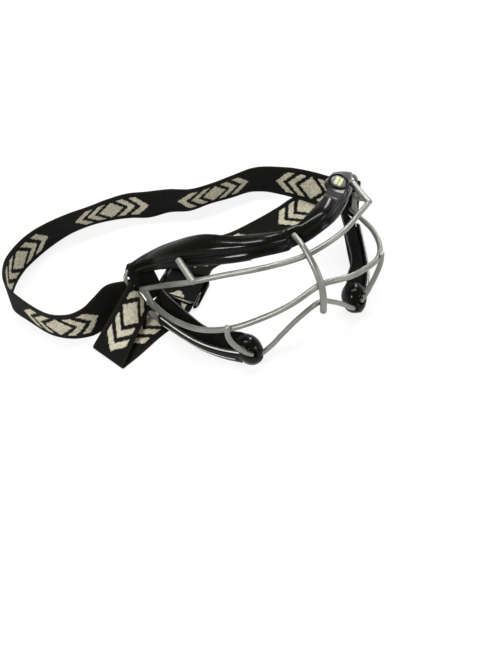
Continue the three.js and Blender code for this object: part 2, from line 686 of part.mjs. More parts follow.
// Slider: side rails beside the strap, a centre bar under it and an end rail over it at each end
const sliderOpening = strapWidth + 2 * fitGap;
const sliderWidth = sliderOpening + 2 * sliderRail;
const sliderHeight = 2 * sliderPlate + strapThick + 2 * fitGap;
function sliderBlock(length, width, from, to, radius, centre = 0) {
  const shape = new THREE.Shape();
  const x = length / 2;
  const y = width / 2;
  shape.moveTo(-x + radius, -y);
  shape.lineTo(x - radius, -y);
  if (radius > 0) shape.absarc(x - radius, -y + radius, radius, -Math.PI / 2, 0);
  shape.lineTo(x, y - radius);
  if (radius > 0) shape.absarc(x - radius, y - radius, radius, 0, Math.PI / 2);
  shape.lineTo(-x + radius, y);
  if (radius > 0) shape.absarc(-x + radius, y - radius, radius, Math.PI / 2, Math.PI);
  shape.lineTo(-x, -y + radius);
  if (radius > 0) shape.absarc(-x + radius, -y + radius, radius, Math.PI, 1.5 * Math.PI);
  const options = { depth: to - from, bevelEnabled: false, curveSegments: 5 };
  const block = new THREE.ExtrudeGeometry(shape, options);
  block.translate(centre, 0, from);
  block.rotateZ(Math.atan2(sliderHeading.y, sliderHeading.x));
  block.translate(sliderCentre.x, sliderCentre.y, 0);
  return solidOf(block);
}
const roofFrom = sliderHeight - sliderPlate;
const sliderSlots = [
  sliderBlock(2 * sliderLength, sliderOpening, sliderPlate, roofFrom, 0),
  sliderBlock(sliderLength - 2 * sliderRail, sliderOpening, sliderPlate, 2 * sliderHeight, 0),
];
const floorLength = sliderLength - sliderBar / 2;
for (const side of [-1, 1]) {
  const centre = (side * (sliderBar + floorLength)) / 2;
  sliderSlots.push(sliderBlock(floorLength, sliderOpening, -sliderPlate, sliderHeight / 2, 0, centre));
}
const sliderBody = sliderBlock(sliderLength, sliderWidth, 0, sliderHeight, sliderRound);
const slider = cut(sliderBody, ...sliderSlots);

// Materials
const paint = (color, roughness, metalness) => {
  return new THREE.MeshStandardMaterial({ color, roughness, metalness });
};
const gloss = paint(0x0b0b0c, 0.15, 0);
const foam = paint(0x141415, 0.9, 0);
const steel = paint(0x96968f, 0.35, 1);
const webbing = paint(0x17171a, 0.85, 0);
const plate = paint(0xb9bd8d, 0.4, 0);

const group = new THREE.Group();
function add(name, solid, material) {
  const mesh = new THREE.Mesh(geometryOf(solid), material);
  mesh.name = name;
  group.add(mesh);
}
function addPair(name, solid, material) {
  add(`${name}_right`, solid, material);
  add(`${name}_left`, mirrored(solid), material);
}
add('brow_shell', browShell, gloss);
add('badge_disc', badge, plate);
add('nose_bar', noseBar, steel);
add('nose_wire', noseSpan, steel);
add('strap', strap, webbing);
add('strap_slider', slider, gloss);
addPair('brow_pad', browPad, foam);
addPair('upper_wire', upperWire, steel);
addPair('lower_wire', lowerWire, steel);
addPair('upper_post', post, steel);
addPair('cheek_strut', strut, steel);
addPair('strut_collar', collar, steel);
addPair('temple_loop', templeLoop, steel);
addPair('temple_link_rear', links[0], steel);
addPair('temple_link_front', links[1], steel);
addPair('cheek_foot', cheekFoot, gloss);
addPair('cheek_shell', cheekShell, gloss);
addPair('cheek_pad', cheekPad, foam);
addPair('temple_pad', templePad, foam);

// Origin at the middle of the underside of the bounding box
const bounds = new THREE.Box3().setFromObject(group);
const middle = bounds.getCenter(new THREE.Vector3());
for (const mesh of group.children) {
  mesh.position.set(-middle.x, -middle.y, -bounds.min.z);
}

export default group;
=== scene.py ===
from math import atan2, cos, exp, pi, radians, sin, sqrt

import bmesh
import bpy
import numpy as np
from mathutils import Matrix
from numpy import linspace
from numpy.linalg import norm


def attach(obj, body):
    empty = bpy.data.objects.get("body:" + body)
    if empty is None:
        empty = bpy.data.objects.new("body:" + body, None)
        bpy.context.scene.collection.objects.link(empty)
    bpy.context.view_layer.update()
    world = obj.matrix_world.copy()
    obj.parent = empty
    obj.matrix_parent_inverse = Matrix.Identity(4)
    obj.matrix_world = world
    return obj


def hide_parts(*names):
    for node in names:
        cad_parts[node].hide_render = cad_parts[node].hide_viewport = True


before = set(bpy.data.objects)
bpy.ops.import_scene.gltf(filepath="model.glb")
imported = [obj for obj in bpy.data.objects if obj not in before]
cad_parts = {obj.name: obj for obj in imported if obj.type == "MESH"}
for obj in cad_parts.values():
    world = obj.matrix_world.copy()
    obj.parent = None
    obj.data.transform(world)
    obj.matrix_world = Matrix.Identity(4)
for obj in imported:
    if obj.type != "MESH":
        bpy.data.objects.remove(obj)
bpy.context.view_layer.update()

# Millimetres in the goggles' own frame: X across, Y back towards the wearer, Z up.
MM = 0.001
ORIGIN = np.array([32.4926, -49.0451, 0.0])
HALF_WIDTH = 86.0
FRAME_DEPTH = 98.0
BROW_HEIGHT = 82.0
FIT_GAP = 0.3
BODY = "goggles"

# Wires, by diameter
CAGE_WIRE = 3.6
NOSE_WIRE = 3.2
POST_WIRE = 4.2
STRUT_WIRE = 3.4
LOOP_WIRE = 2.6
LOOP_BEND = 3.0
LINK_WIRE = 1.8
UPPER_GAUGE = 3.4
BAR_GAUGE = 4.0
WIRE_SETBACK = 0.5
POST_SHOWN = 0.9
STRIP_FLAT = 1.25
WELD_FLARE = 0.12
LINK_FLARE = 0.15

# Shells and pads
BROW_WALL = 2.2
BROW_CROWN = 0.132
BROW_TURN = 0.13
CHANNEL_DEPTH = 0.9
CHANNEL_EDGES = ((0.3, 0.42), (0.56, 0.68))
BEAD_HEIGHT = 0.35
BEAD_EDGES = ((0.7, 0.8), (0.86, 1.0))
NOTCH_SPAN = (2.2, 6.4)
NOTCH_IN = 2.4
NOTCH_DOWN = 1.4
WALL_SHARE = 0.42
CORNER_SHARE = 0.42
LIP_ROUND = 0.8
SHELL_DOME = 1.6
BROW_PAD_DEPTH = 12.0
BROW_PAD_DROP = 6.0
BROW_PAD_DOME = 2.0
BROW_PAD_ROUNDS = [2.4, 2.4, 2.4, 2.4, 4.0, 2.4]
BROW_PAD_SPAN = (22 / 36, 34 / 36)
CHEEK_WALL = 1.8
CHEEK_BULGE = 1.0
CHEEK_TURN = 0.12
CHEEK_DOME = 1.4
# Painted highlight lines on the cover, as light-grey beads: point of its section, radius, start and end
CHEEK_HIGHLIGHT_LINES = ((1, 0.48, 0.02, 0.97), (28, 0.34, 0.05, 0.9))
CHEEK_PAD_ROUNDS = [1.2, 2.2, 6.0, 1.3, 2.2]
CHEEK_PAD_CROWN = 1.3
SEAM_RADIUS = 0.42
FOOT_RADII = np.array([8.4, 10.2, 9.5])
FOOT_FLAT = 0.6
GROOVE_SINK = 0.6
TEMPLE_PAD_THICK = 7.6
TEMPLE_PAD_ROUNDS = [1.6, 3.0, 3.0, 1.6, 1.6, 3.0, 1.6]
CATCH_ARC = (0.58 * pi, 1.25 * pi)
CATCH_RIB = [
    (2.05, -0.75), (2.5, -0.7), (2.75, -0.3), (2.75, 0.3), (2.5, 0.7), (2.05, 0.75), (1.9, 0.4),
    (1.9, -0.4),
]

# Strap and slider
STRAP_WIDTH = 25.4
STRAP_THICK = 1.3
STRAP_REACH = 86.0
STRAP_FOLD = 1.9
BAR_SLACK = 1.7
BAR_PLAY = 0.6
SLIDER_LENGTH = 25.0
SLIDER_RAIL = 2.4
SLIDER_BAR = 4.4
SLIDER_PLATE = 1.9
SLIDER_TRAVEL = 4.0
SLIDER_CORNER = 4.0
SLIDER_SOFT = 0.55

# Places on the frame: shares of half width, depth and height, right half, centre outwards
BROW_RIDGE = [
    (0, -0.015, 0.945), (0.27, 0.01, 0.99), (0.42, 0.09, 0.95), (0.593, 0.205, 0.876),
    (0.81, 0.395, 0.726), (0.906, 0.528, 0.546), (0.99, 0.605, 0.4),
]
BROW_REAR = [
    (0, 0.035, 0.97), (0.235, 0.1, 0.98), (0.365, 0.157, 0.966), (0.517, 0.295, 0.91),
    (0.703, 0.463, 0.725), (0.837, 0.563, 0.567), (0.962, 0.629, 0.422),
]
BROW_LOWER = [
    (0, -0.05, 0.876), (0.275, -0.02, 0.903), (0.425, 0.052, 0.85), (0.598, 0.177, 0.765),
    (0.793, 0.35, 0.635), (0.898, 0.495, 0.471), (0.984, 0.585, 0.35),
]
UPPER_WIRE = [
    (0, -0.149, 0.913), (0.28, -0.128, 0.939), (0.535, -0.005, 0.854), (0.73, 0.112, 0.75),
    (0.798, 0.224, 0.617), (0.849, 0.347, 0.463), (0.942, 0.478, 0.311),
]
LOWER_WIRE = [
    (0, -0.305, 0.773), (0.233, -0.311, 0.72), (0.407, -0.265, 0.628), (0.605, -0.184, 0.524),
    (0.758, -0.04, 0.406), (0.853, 0.141, 0.313), (0.892, 0.305, 0.234), (0.912, 0.454, 0.177),
]
NOSE_BAR = [
    (0, 0.012, 0.942), (0, -0.078, 0.95), (0, -0.152, 0.926), (0, -0.245, 0.872),
    (0, -0.318, 0.783), (0, -0.349, 0.69), (0, -0.366, 0.551),
]
NOSE_SPAN = [
    (0, -0.317, 0.59), (0.143, -0.29, 0.452), (0.258, -0.277, 0.318), (0.343, -0.264, 0.2),
    (0.42, -0.235, 0.1), (0.46, -0.2, 0.08),
]
POST = [(0.717, 0.092, 0.765), (0.718, 0.3, 0.775)]
STRUT = [
    (0.473, -0.231, 0.142), (0.519, -0.22, 0.194), (0.571, -0.208, 0.271), (0.612, -0.197, 0.355),
    (0.639, -0.188, 0.458), (0.637, -0.183, 0.56),
]
LOOP_CENTRE = (0.981, 0.501, 0.212)
LOOP_LEAN = (0.235, 0.382)
LOOP_ROOT = (0.962, 0.61, 0.408)
LOOP_ARM = (0.9, 0.35, 0.052)
LOOP_FOOT = (0.86, 0.24, 0.06)
LINK_ENDS = ((0.985, 0.998), (0.93, 0.965))
BADGE = (0.575, 0.268, 0.893)
BADGE_LEAN = (0.18, -0.08)
RECESS_DEPTH = -1.3
RECESS_RIM = 1.0
RECESS_RISE = 3.0
RECESS_FALL = 0.045
RECESS_EDGE = (6.0, 7.6)
RECESS_SLOPE = (8.0, 21.0)
BADGE_CLEAR = 5.7
PAD_CLEAR = 4.9
CLEAR_CURVE = 0.018
CLEAR_SHIFT = 2.0
CLEAR_REACH = (48.0, 60.0)
CLEAR_DEPTH = (-62.0, -46.0)
CHEEK_RIM = [
    (0.9, 0.33, 0.134), (0.815, 0.155, 0.108), (0.73, 0.01, 0.112), (0.622, -0.118, 0.136),
    (0.535, -0.195, 0.155),
]
CHEEK_FOOT = [
    (0.905, 0.315, 0.032), (0.82, 0.15, 0.026), (0.738, 0.005, 0.02), (0.628, -0.122, 0.016),
    (0.54, -0.2, 0.016),
]
CHEEK_BACK = [
    (0.785, 0.43, 0.238), (0.708, 0.247, 0.172), (0.632, 0.09, 0.143), (0.512, -0.015, 0.165),
    (0.44, -0.09, 0.2),
]
CHEEK_INNER = [
    (0.805, 0.385, 0.042), (0.712, 0.21, 0.03), (0.635, 0.07, 0.02), (0.535, -0.03, 0.016),
    (0.47, -0.11, 0.016),
]
PAD_HEEL = [(0.89, 0.4, 0.165), (0.878, 0.393, 0.09), (0.791, 0.457, 0.254), (0.808, 0.434, 0.09)]
FOOT = (0.466, -0.163)
FOOT_TURN = (0.35, 0.94)
TEMPLE_OUTER = [
    (0.876, 0.445, 0.172), (0.926, 0.486, 0.262), (0.962, 0.53, 0.36), (0.966, 0.573, 0.44),
]
TEMPLE_INNER = [
    (0.785, 0.445, 0.224), (0.794, 0.469, 0.317), (0.806, 0.498, 0.402), (0.817, 0.52, 0.476),
]
TEMPLE_DEPTH = (-0.05, 0.93, -0.36)
TEMPLE_REACH = [2.0, 3.0, 2.6, 1.6, 0.5]
# Shares of the brow pad's drop and depth, from the middle of the bar outwards
PAD_DROPS = [1, 1, 1, 1, 0.85, 0.5, 0.15]
PAD_DEPTHS = [0.55, 0.7, 0.8, 1, 0.8, 0.5, 0.3]

# Strap stations: shares of half width and strap reach, the lean back and aside, and the share of
# the strap's width by which it stands off the table
OUTER_RUN = [
    (0.831, 0.098, 0.31, 0.19, 0.17), (0.733, 0.26, 0.23, 0.14, 0.14), (0.635, 0.41, 0.13, 0.08, 0.105),
    (0.57, 0.516, 0.05, 0.03, 0.03), (0.52, 0.58, 0), (0.453, 0.627, -0.04), (0.378, 0.662, -0.08),
    (0.198, 0.685, -0.13), (0.023, 0.714, -0.2), (-0.163, 0.728, -0.15), (-0.314, 0.798, -0.1),
    (-0.488, 0.831, 0.02), (-0.628, 0.906, -0.04), (-0.79, 0.964, -0.16), (-0.953, 0.995, -0.24),
    (-1.134, 0.993, -0.2), (-1.326, 0.945, -0.08), (-1.46, 0.893, 0), (-1.593, 0.824, 0.02),
    (-1.709, 0.72, 0.06), (-1.78, 0.61, 0.02, 0.02), (-1.8, 0.497, 0, 0.04), (-1.738, 0.342, 0, -0.02),
    (-1.651, 0.162, 0, -0.03), (-1.593, 0.092, 0, -0.04), (-1.535, 0.045, 0.02, -0.03),
    (-1.472, 0.01, 0.06, -0.03), (-1.37, -0.019, 0.19, -0.03), (-1.244, -0.009, 0.33, -0.1, 0.03),
    (-1.105, 0.016, 0.38, -0.16, 0.12),
]
FOLD = (-1.343, -0.26)
FOLD_LEAN = (-0.38, 0.925)
INNER_RUN = [
    (-1.153, -0.359, 0.956, -0.292), (-0.957, -0.293, 0.956, -0.292), (-0.822, -0.258, 0.94, -0.342),
]
SLIDER = (-0.593, 0.028)
SLIDER_HEADING = (0.788, 0.616)
BACK_RUN = [
    (-0.3, 0.075, 0.94, -0.342, 0.02), (-0.176, 0.088, 0.998, -0.07), (-0.009, 0.043, 0.999, -0.035),
    (0.308, 0.058, 0.994, -0.105), (0.547, 0.095, 0.988, -0.156), (0.674, 0.12, 0.993, -0.12),
    (0.76, 0.115, 0.985, 0.05, 0.005), (0.85, 0.074, 0.83, 0.15, 0.02),
    (0.916, 0.017, 0.58, 0.21, 0.14),
]
RIGHT_ARRIVAL = (0.55, -0.83, 0)
LEFT_ARRIVAL = (1, 0, 0)
RIGHT_SPAN = pi
LEFT_SPAN = 0.87 * pi
WRAP_STEPS = 7
FOLD_STEPS = 6
FOLD_START = 0.12 * pi
STRAP_STEPS = 11
ACROSS_STEPS = 12
EDGE_STEPS = 4
EDGE_ROUND = 0.5

# Woven motif along the strap: a diamond between two chevrons on each side
MOTIF_PERIOD = 74.3
MOTIF_START = 11.0
MOTIF_CENTRE = 29.0
MOTIF_HALF = 8.6
DIAMOND = (8.6, 8.8)
CHEVRON_SLANT = 0.95
CHEVRONS = ((12.4, 17.4), (21.4, 26.8))
EDGE_BAND = (11.0, 11.9)
WEAVE_RIB = 1.05
WEAVE_ROW = 0.8

# Print of the badge: slanted bars in two rows
PRINT_TURN = (0.82, 0.57)
PRINT_PITCH = 1.5
PRINT_GAP = 0.5
PRINT_ROW = (0.25, 2.3)
PRINT_REACH = 3.6
PRINT_RING = (4.3, 4.65)

# Camera, as fitted to the photograph
CAMERA_PLACE = (-0.143210, -0.298250, 0.430354)
CAMERA_RIGHT = (0.865128, -0.501551, 0.0)
CAMERA_UP = (0.416120, 0.717274, 0.558923)
CAMERA_BACK = (-0.280327, -0.483536, 0.829226)
CAMERA_LENS = 43.75
SENSOR = 36.0


# Curves
def vec(x, y=None, z=None):
    return np.array(x if y is None else (x, y, z), dtype=float)


def unit(v):
    v = vec(v)
    return v / max(norm(v), 1e-12)


def units(rows):
    return rows / norm(rows, axis=1)[:, None]


def smooth(value, low, high):
    """Smooth change from 0 to 1 while the value goes from low to high."""
    t = np.clip((np.asarray(value, dtype=float) - low) / (high - low), 0, 1)
    return t * t * (3 - 2 * t)


def round_turn(count):
    return linspace(0, 2 * pi, count, endpoint=False)


def place(share):
    """Spot on the frame, from shares of its half width, depth and height."""
    return vec(share) * (HALF_WIDTH, FRAME_DEPTH, BROW_HEIGHT)


def flip(points):
    return np.asarray(points) * (-1.0, 1.0, 1.0)


def leaning(lean):
    rise = sqrt(max(1 - lean[0] ** 2 - lean[1] ** 2, 0))
    return unit((lean[0], lean[1], rise))


class Spline:
    """Centripetal curve through points, open or closed."""

    def __init__(self, points, closed=False):
        self.points = np.array(points, dtype=float)
        self.closed = closed
        self.spans = len(points) if closed else len(points) - 1

    def at(self, t):
        points, count = self.points, len(self.points)
        place_on = self.spans * min(max(t, 0.0), 1.0)
        i = min(int(place_on), self.spans - 1)
        w = place_on - i
        b, c = points[i % count], points[(i + 1) % count]
        a = points[i - 1] if self.closed or i > 0 else 2 * b - c
        d = points[(i + 2) % count] if self.closed or i + 2 < count else 2 * c - b
        steps = [max(norm(q - p), 1e-6) ** 0.5 for p, q in ((a, b), (b, c), (c, d))]
        t1 = (b - a) / steps[0] - (c - a) / (steps[0] + steps[1]) + (c - b) / steps[1]
        t2 = (c - b) / steps[1] - (d - b) / (steps[1] + steps[2]) + (d - c) / steps[2]
        t1, t2 = t1 * steps[1], t2 * steps[1]
        return b + t1 * w + (3 * (c - b) - 2 * t1 - t2) * w**2 + (2 * (b - c) + t1 + t2) * w**3

    def line(self, count, start=0.0, end=1.0):
        return np.array([self.at(start + (end - start) * i / (count - 1)) for i in range(count)])


def half(shares):
    return Spline([place(s) for s in shares])


def full(shares):
    right = [place(s) for s in shares]
    return Spline([flip(p) for p in right[:0:-1]] + right)


def way_gone(points):
    """Length of a path up to each of its points."""
    return np.concatenate([[0], np.cumsum(norm(np.diff(points, axis=0), axis=1))])


def spaced(points, count, endpoint=True):
    """Points evenly spaced along a path."""
    along = way_gone(points)
    want = linspace(0, along[-1], count, endpoint=endpoint)
    return np.stack([np.interp(want, along, points[:, k]) for k in range(3)], 1)


def even(points, step):
    """The same path with points a step apart."""
    points = np.asarray(points)
    return spaced(points, max(int(round(way_gone(points)[-1] / step)), 2) + 1)


def same_count(ring, count):
    """Ring with points evenly spaced round it."""
    return spaced(np.array([*ring, ring[0]]), count, endpoint=False)


def bow(start, corner, end, shares):
    """Curve from start to end, drawn towards a corner."""
    return [(1 - w) ** 2 * start + 2 * w * (1 - w) * corner + w**2 * end for w in shares]


def cut_corner(before, here, after, radius, count):
    """Rounded corner of a path."""
    ends = []
    for other in (before, after):
        share = min(radius / max(norm(other - here), 1e-6), CORNER_SHARE)
        ends.append(here + (other - here) * share)
    return bow(ends[0], here, ends[1], linspace(0, 1, count))


def bent(corners, radius):
    """Straight runs with rounded corners between them."""
    path = [corners[0]]
    for before, here, after in zip(corners, corners[1:], corners[2:]):
        path += cut_corner(before, here, after, radius, 9)
    return even([*path, corners[-1]], 0.4)


def rounded(corners, radii):
    """Closed ring through corners, each rounded."""
    ring = []
    for i, radius in enumerate(radii):
        ring += cut_corner(corners[i - 1], corners[i], corners[(i + 1) % len(corners)], radius, 6)
    return ring


# Meshes
scene = bpy.context.scene


def added(name, data):
    """New object in the scene."""
    thing = bpy.data.objects.new(name, data)
    scene.collection.objects.link(thing)
    return thing


def shaped(name, points, faces, uvs=None):
    """Closed mesh in the scene, with its faces turned outwards."""
    mesh = bpy.data.meshes.new(name)
    mesh.from_pydata([tuple((vec(p) + ORIGIN) * MM) for p in points], [], faces)
    if uvs is not None:
        layer = mesh.uv_layers.new(name="surface")
        for loop in mesh.loops:
            layer.data[loop.index].uv = uvs[loop.index]
    work = bmesh.new()
    work.from_mesh(mesh)
    bmesh.ops.recalc_face_normals(work, faces=work.faces)
    work.to_mesh(mesh)
    work.free()
    return added(name, mesh)


def dressed(piece, material):
    """Gives a piece its material, and smooth shading."""
    piece.data.materials.append(material)
    for polygon in piece.data.polygons:
        polygon.use_smooth = True
    return piece


def loft(name, rings, material, closed=False, across=None):
    """Surface through rings of matched points. Ends are capped by a fan round their middle."""
    rings = np.asarray(rings, dtype=float)
    rows, count = rings.shape[:2]
    points = rings.reshape(-1, 3)
    middle = rings.mean(1)
    along = way_gone(middle)
    if across is None:
        edges = norm(np.roll(rings, -1, 1) - rings, axis=2).mean(0)
        across = np.concatenate([[0], np.cumsum(edges)])
    faces, uvs = [], []
    spans = rows if closed else rows - 1
    total = along[-1] + norm(middle[0] - middle[-1])
    for i in range(spans):
        k = (i + 1) % rows
        u0, u1 = along[i], (along[k] if k else total)
        for j in range(count):
            m = (j + 1) % count
            faces.append((i * count + j, k * count + j, k * count + m, i * count + m))
            v0, v1 = across[j], across[j + 1]
            uvs += [(u0, v0), (u1, v0), (u1, v1), (u0, v1)]
    if not closed:
        extra = []
        for row, turned in ((0, False), (rows - 1, True)):
            centre = len(points) + len(extra)
            extra.append(middle[row])
            for j in range(count):
                m = (j + 1) % count
                a, b = row * count + j, row * count + m
                faces.append((centre, b, a) if turned else (centre, a, b))
                uvs += [(along[row], 0), (along[row], across[j]), (along[row], across[j + 1])]
        points = np.concatenate([points, extra])
    return dressed(shaped(name, points, faces, np.array(uvs) * MM), material)


def frames_along(path):
    """Side and lift vectors that don't twist along a path."""
    ahead = units(np.gradient(path, axis=0))
    start = vec(0, 0, 1) if abs(ahead[0][2]) < 0.9 else vec(0, 1, 0)
    side = unit(np.cross(ahead[0], start))
    sides = [side]
    for i in range(1, len(path)):
        side = unit(side - ahead[i] * np.dot(side, ahead[i]))
        sides.append(side)
    sides = np.array(sides)
    return ahead, sides, np.cross(sides, ahead)


def tube_rings(path, radius, sides=20, flare=(0.0, 0.0), flat=1.0, gauge=None):
    """Rings of a round bar with round ends.

    flare swells an end like a weld, flat makes the bar broader than it is thick, and gauge makes
    it thinner. The last two can be functions of the way gone and the way left.
    """
    path = np.asarray(path)
    ahead, side, lift = frames_along(path)
    along = way_gone(path)
    left = along[-1] - along
    fade, bulge = 1.6, 0.45
    size = radius * (1 + flare[0] * np.exp(-along / fade) + flare[1] * np.exp(-left / fade))
    if gauge is not None:
        size = size * gauge(along, left)
    wide = flat(along, left) if callable(flat) else np.full(len(path), flat)

    def ring(centre, i, share):
        return [
            centre + share * size[i] * (cos(a) * side[i] * wide[i] + sin(a) * lift[i] / wide[i])
            for a in round_turn(sides)
        ]

    cap = [(cos(a), sin(a)) for a in linspace(0, pi / 2, 6)[1:-1]] + [(0.08, 1.0)]
    rings = [ring(path[0] - ahead[0] * size[0] * bulge * out, 0, share) for share, out in cap[::-1]]
    rings += [ring(p, i, 1.0) for i, p in enumerate(path)]
    rings += [ring(path[-1] + ahead[-1] * size[-1] * bulge * out, -1, share) for share, out in cap]
    return rings


def wire(name, path, diameter, replaced, **options):
    piece = loft(name, tube_rings(path, diameter / 2, **options), steel)
    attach(piece, BODY)
    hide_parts(replaced)


def domed(rings, depth):
    """Rings with both ends closed by a dome."""
    steps = 6

    def dome(first, second):
        centre = first.mean(0)
        out = unit(centre - second.mean(0))
        made = []
        for k in range(1, steps + 1):
            a = pi / 2 * k / steps
            share = max(cos(a), 0.04)
            made.append(centre + (first - centre) * share + out * depth * sin(a))
        return made

    rings = [np.asarray(r) for r in rings]
    return dome(rings[0], rings[1])[::-1] + rings + dome(rings[-1], rings[-2])


# Materials
class Nodes:
    """The nodes of a material or of the world, with short ways to make and link them."""

    def __init__(self, owner):
        owner.use_nodes = True
        self.owner, self.nodes, self.links = owner, owner.node_tree.nodes, owner.node_tree.links

    def put(self, value, socket):
        if isinstance(value, bpy.types.NodeSocket):
            self.links.new(value, socket)
        else:
            socket.default_value = value

    def node(self, kind, **inputs):
        """New node, with sockets set or linked by name."""
        node = self.nodes.new(f"ShaderNode{kind}")
        for name, value in inputs.items():
            self.put(value, node.inputs[name])
        return node

    def math(self, operation, a, b=0.0):
        node = self.node("Math")
        node.operation = operation
        self.put(a, node.inputs[0])
        self.put(b, node.inputs[1])
        return node.outputs[0]

    def minus(self, a, b):
        return self.math("SUBTRACT", a, b)

    def size(self, value):
        return self.math("ABSOLUTE", value)

    def sum(self, a, b):
        return self.math("ADD", a, b)

    def times(self, a, b):
        return self.math("MULTIPLY", a, b)

    def between(self, value, low, high):
        return self.times(self.math("GREATER_THAN", value, low), self.math("LESS_THAN", value, high))

    def step(self, value, low, high, start=0.0, end=1.0):
        """Smooth change from start to end while the value goes from low to high."""
        node = self.node("MapRange")
        node.interpolation_type = "SMOOTHSTEP"
        for value_in, socket in zip((value, low, high, start, end), node.inputs):
            self.put(value_in, socket)
        return node.outputs[0]

    def place(self, kind="Object"):
        return self.node("TexCoord").outputs[kind]

    def split(self, vector):
        return self.node("SeparateXYZ", Vector=vector).outputs

    def surface_place(self):
        """The surface's own coordinates, in millimetres."""
        node = self.node("UVMap")
        node.uv_map = "surface"
        return [self.times(along, 1 / MM) for along in self.split(node.outputs[0])[:2]]

    def noise(self, scale, detail=3.0, roughness=0.55):
        values = {"Scale": scale, "Detail": detail, "Roughness": roughness}
        return self.node("TexNoise", Vector=self.place(), **values).outputs[0]

    def mixed(self, factor, first, second, blend="MIX"):
        node = self.node("Mix")
        node.data_type = "RGBA"
        node.blend_type = blend
        self.put(factor, node.inputs["Factor"])
        for value, socket in ((first, node.inputs[6]), (second, node.inputs[7])):
            self.put(value if isinstance(value, bpy.types.NodeSocket) else (*value, 1.0), socket)
        return node.outputs[2]


class Shade(Nodes):
    """A material on the standard surface, whose sockets are set by name."""

    def __init__(self, name, specular=0.5, **values):
        super().__init__(bpy.data.materials.new(name))
        self.surface = self.nodes["Principled BSDF"].inputs
        self.surface["Specular IOR Level"].default_value = specular
        for key, value in values.items():
            self.surface[key.replace("_", " ").title()].default_value = value

    def bump(self, height, distance, strength):
        node = self.node("Bump", Height=height, Distance=distance * MM, Strength=strength)
        self.put(node.outputs[0], self.surface["Normal"])

    def paint(self, colour, roughness=None):
        self.put(colour, self.surface["Base Color"])
        if roughness is not None:
            self.put(roughness, self.surface["Roughness"])
        return self.owner


def make_steel():
    s = Shade("satin_wire", metallic=0.75)
    broad, fine = s.noise(60, 3), s.noise(1600, 4)
    colour = s.mixed(s.step(broad, 0.35, 0.65), (0.180, 0.184, 0.166), (0.240, 0.244, 0.220))
    marks = s.step(s.noise(420, 6, roughness=0.7), 0.66, 0.74)
    s.bump(fine, 0.02, 0.5)
    return s.paint(s.mixed(marks, colour, (0.16, 0.16, 0.15)), s.step(broad, 0.3, 0.7, 0.36, 0.5))


def make_gloss():
    s = Shade("moulded_black", specular=0.06, coat_weight=0.14, coat_roughness=0.04)
    broad, haze = s.noise(45, 4), s.noise(260, 5, roughness=0.65)
    colour = s.mixed(broad, (0.0024, 0.0024, 0.0020), (0.0050, 0.0050, 0.0042))
    dust = s.step(s.noise(2600, 2), 0.72, 0.78)
    s.bump(s.sum(broad, s.times(haze, 0.05)), 0.1, 0.3)
    return s.paint(s.mixed(dust, colour, (0.03, 0.03, 0.028)), s.step(haze, 0.35, 0.7, 0.16, 0.3))


def make_satin():
    s = Shade("moulded_satin", specular=0.1, coat_weight=0.04, coat_roughness=0.15)
    broad, grain = s.noise(70, 4), s.noise(900, 4)
    colour = s.mixed(broad, (0.003, 0.003, 0.0028), (0.006, 0.006, 0.0055))
    s.bump(grain, 0.02, 0.3)
    return s.paint(colour, s.step(broad, 0.3, 0.7, 0.3, 0.42))


# Light grey painted into the beads as the highlight on the cheek cover's glossy edges
def make_highlight_bead():
    s = Shade("painted_highlight_bead", coat_weight=0.2, coat_roughness=0.1)
    broad = s.noise(220, 4)
    colour = s.mixed(broad, (0.36, 0.355, 0.34), (0.60, 0.595, 0.57))
    s.bump(s.noise(1500, 3), 0.02, 0.4)
    return s.paint(colour, s.step(broad, 0.3, 0.7, 0.25, 0.4))


def make_foam(name, dark, light, specks):
    s = Shade(name, specular=0.04, roughness=0.95, sheen_weight=0.012, sheen_roughness=0.6)
    fine, broad = s.noise(3200, 3), s.noise(120, 4)
    colour = s.mixed(s.step(broad, 0.3, 0.7), dark, light)
    cell = s.node("TexVoronoi", Vector=s.place(), Scale=950)
    lint = s.times(s.math("LESS_THAN", cell.outputs["Distance"], 0.16), specks)
    picked = s.math("GREATER_THAN", s.noise(240, 1), 0.62)
    s.bump(fine, 0.12, 0.8)
    return s.paint(s.mixed(s.times(lint, picked), colour, (0.08, 0.08, 0.075)))


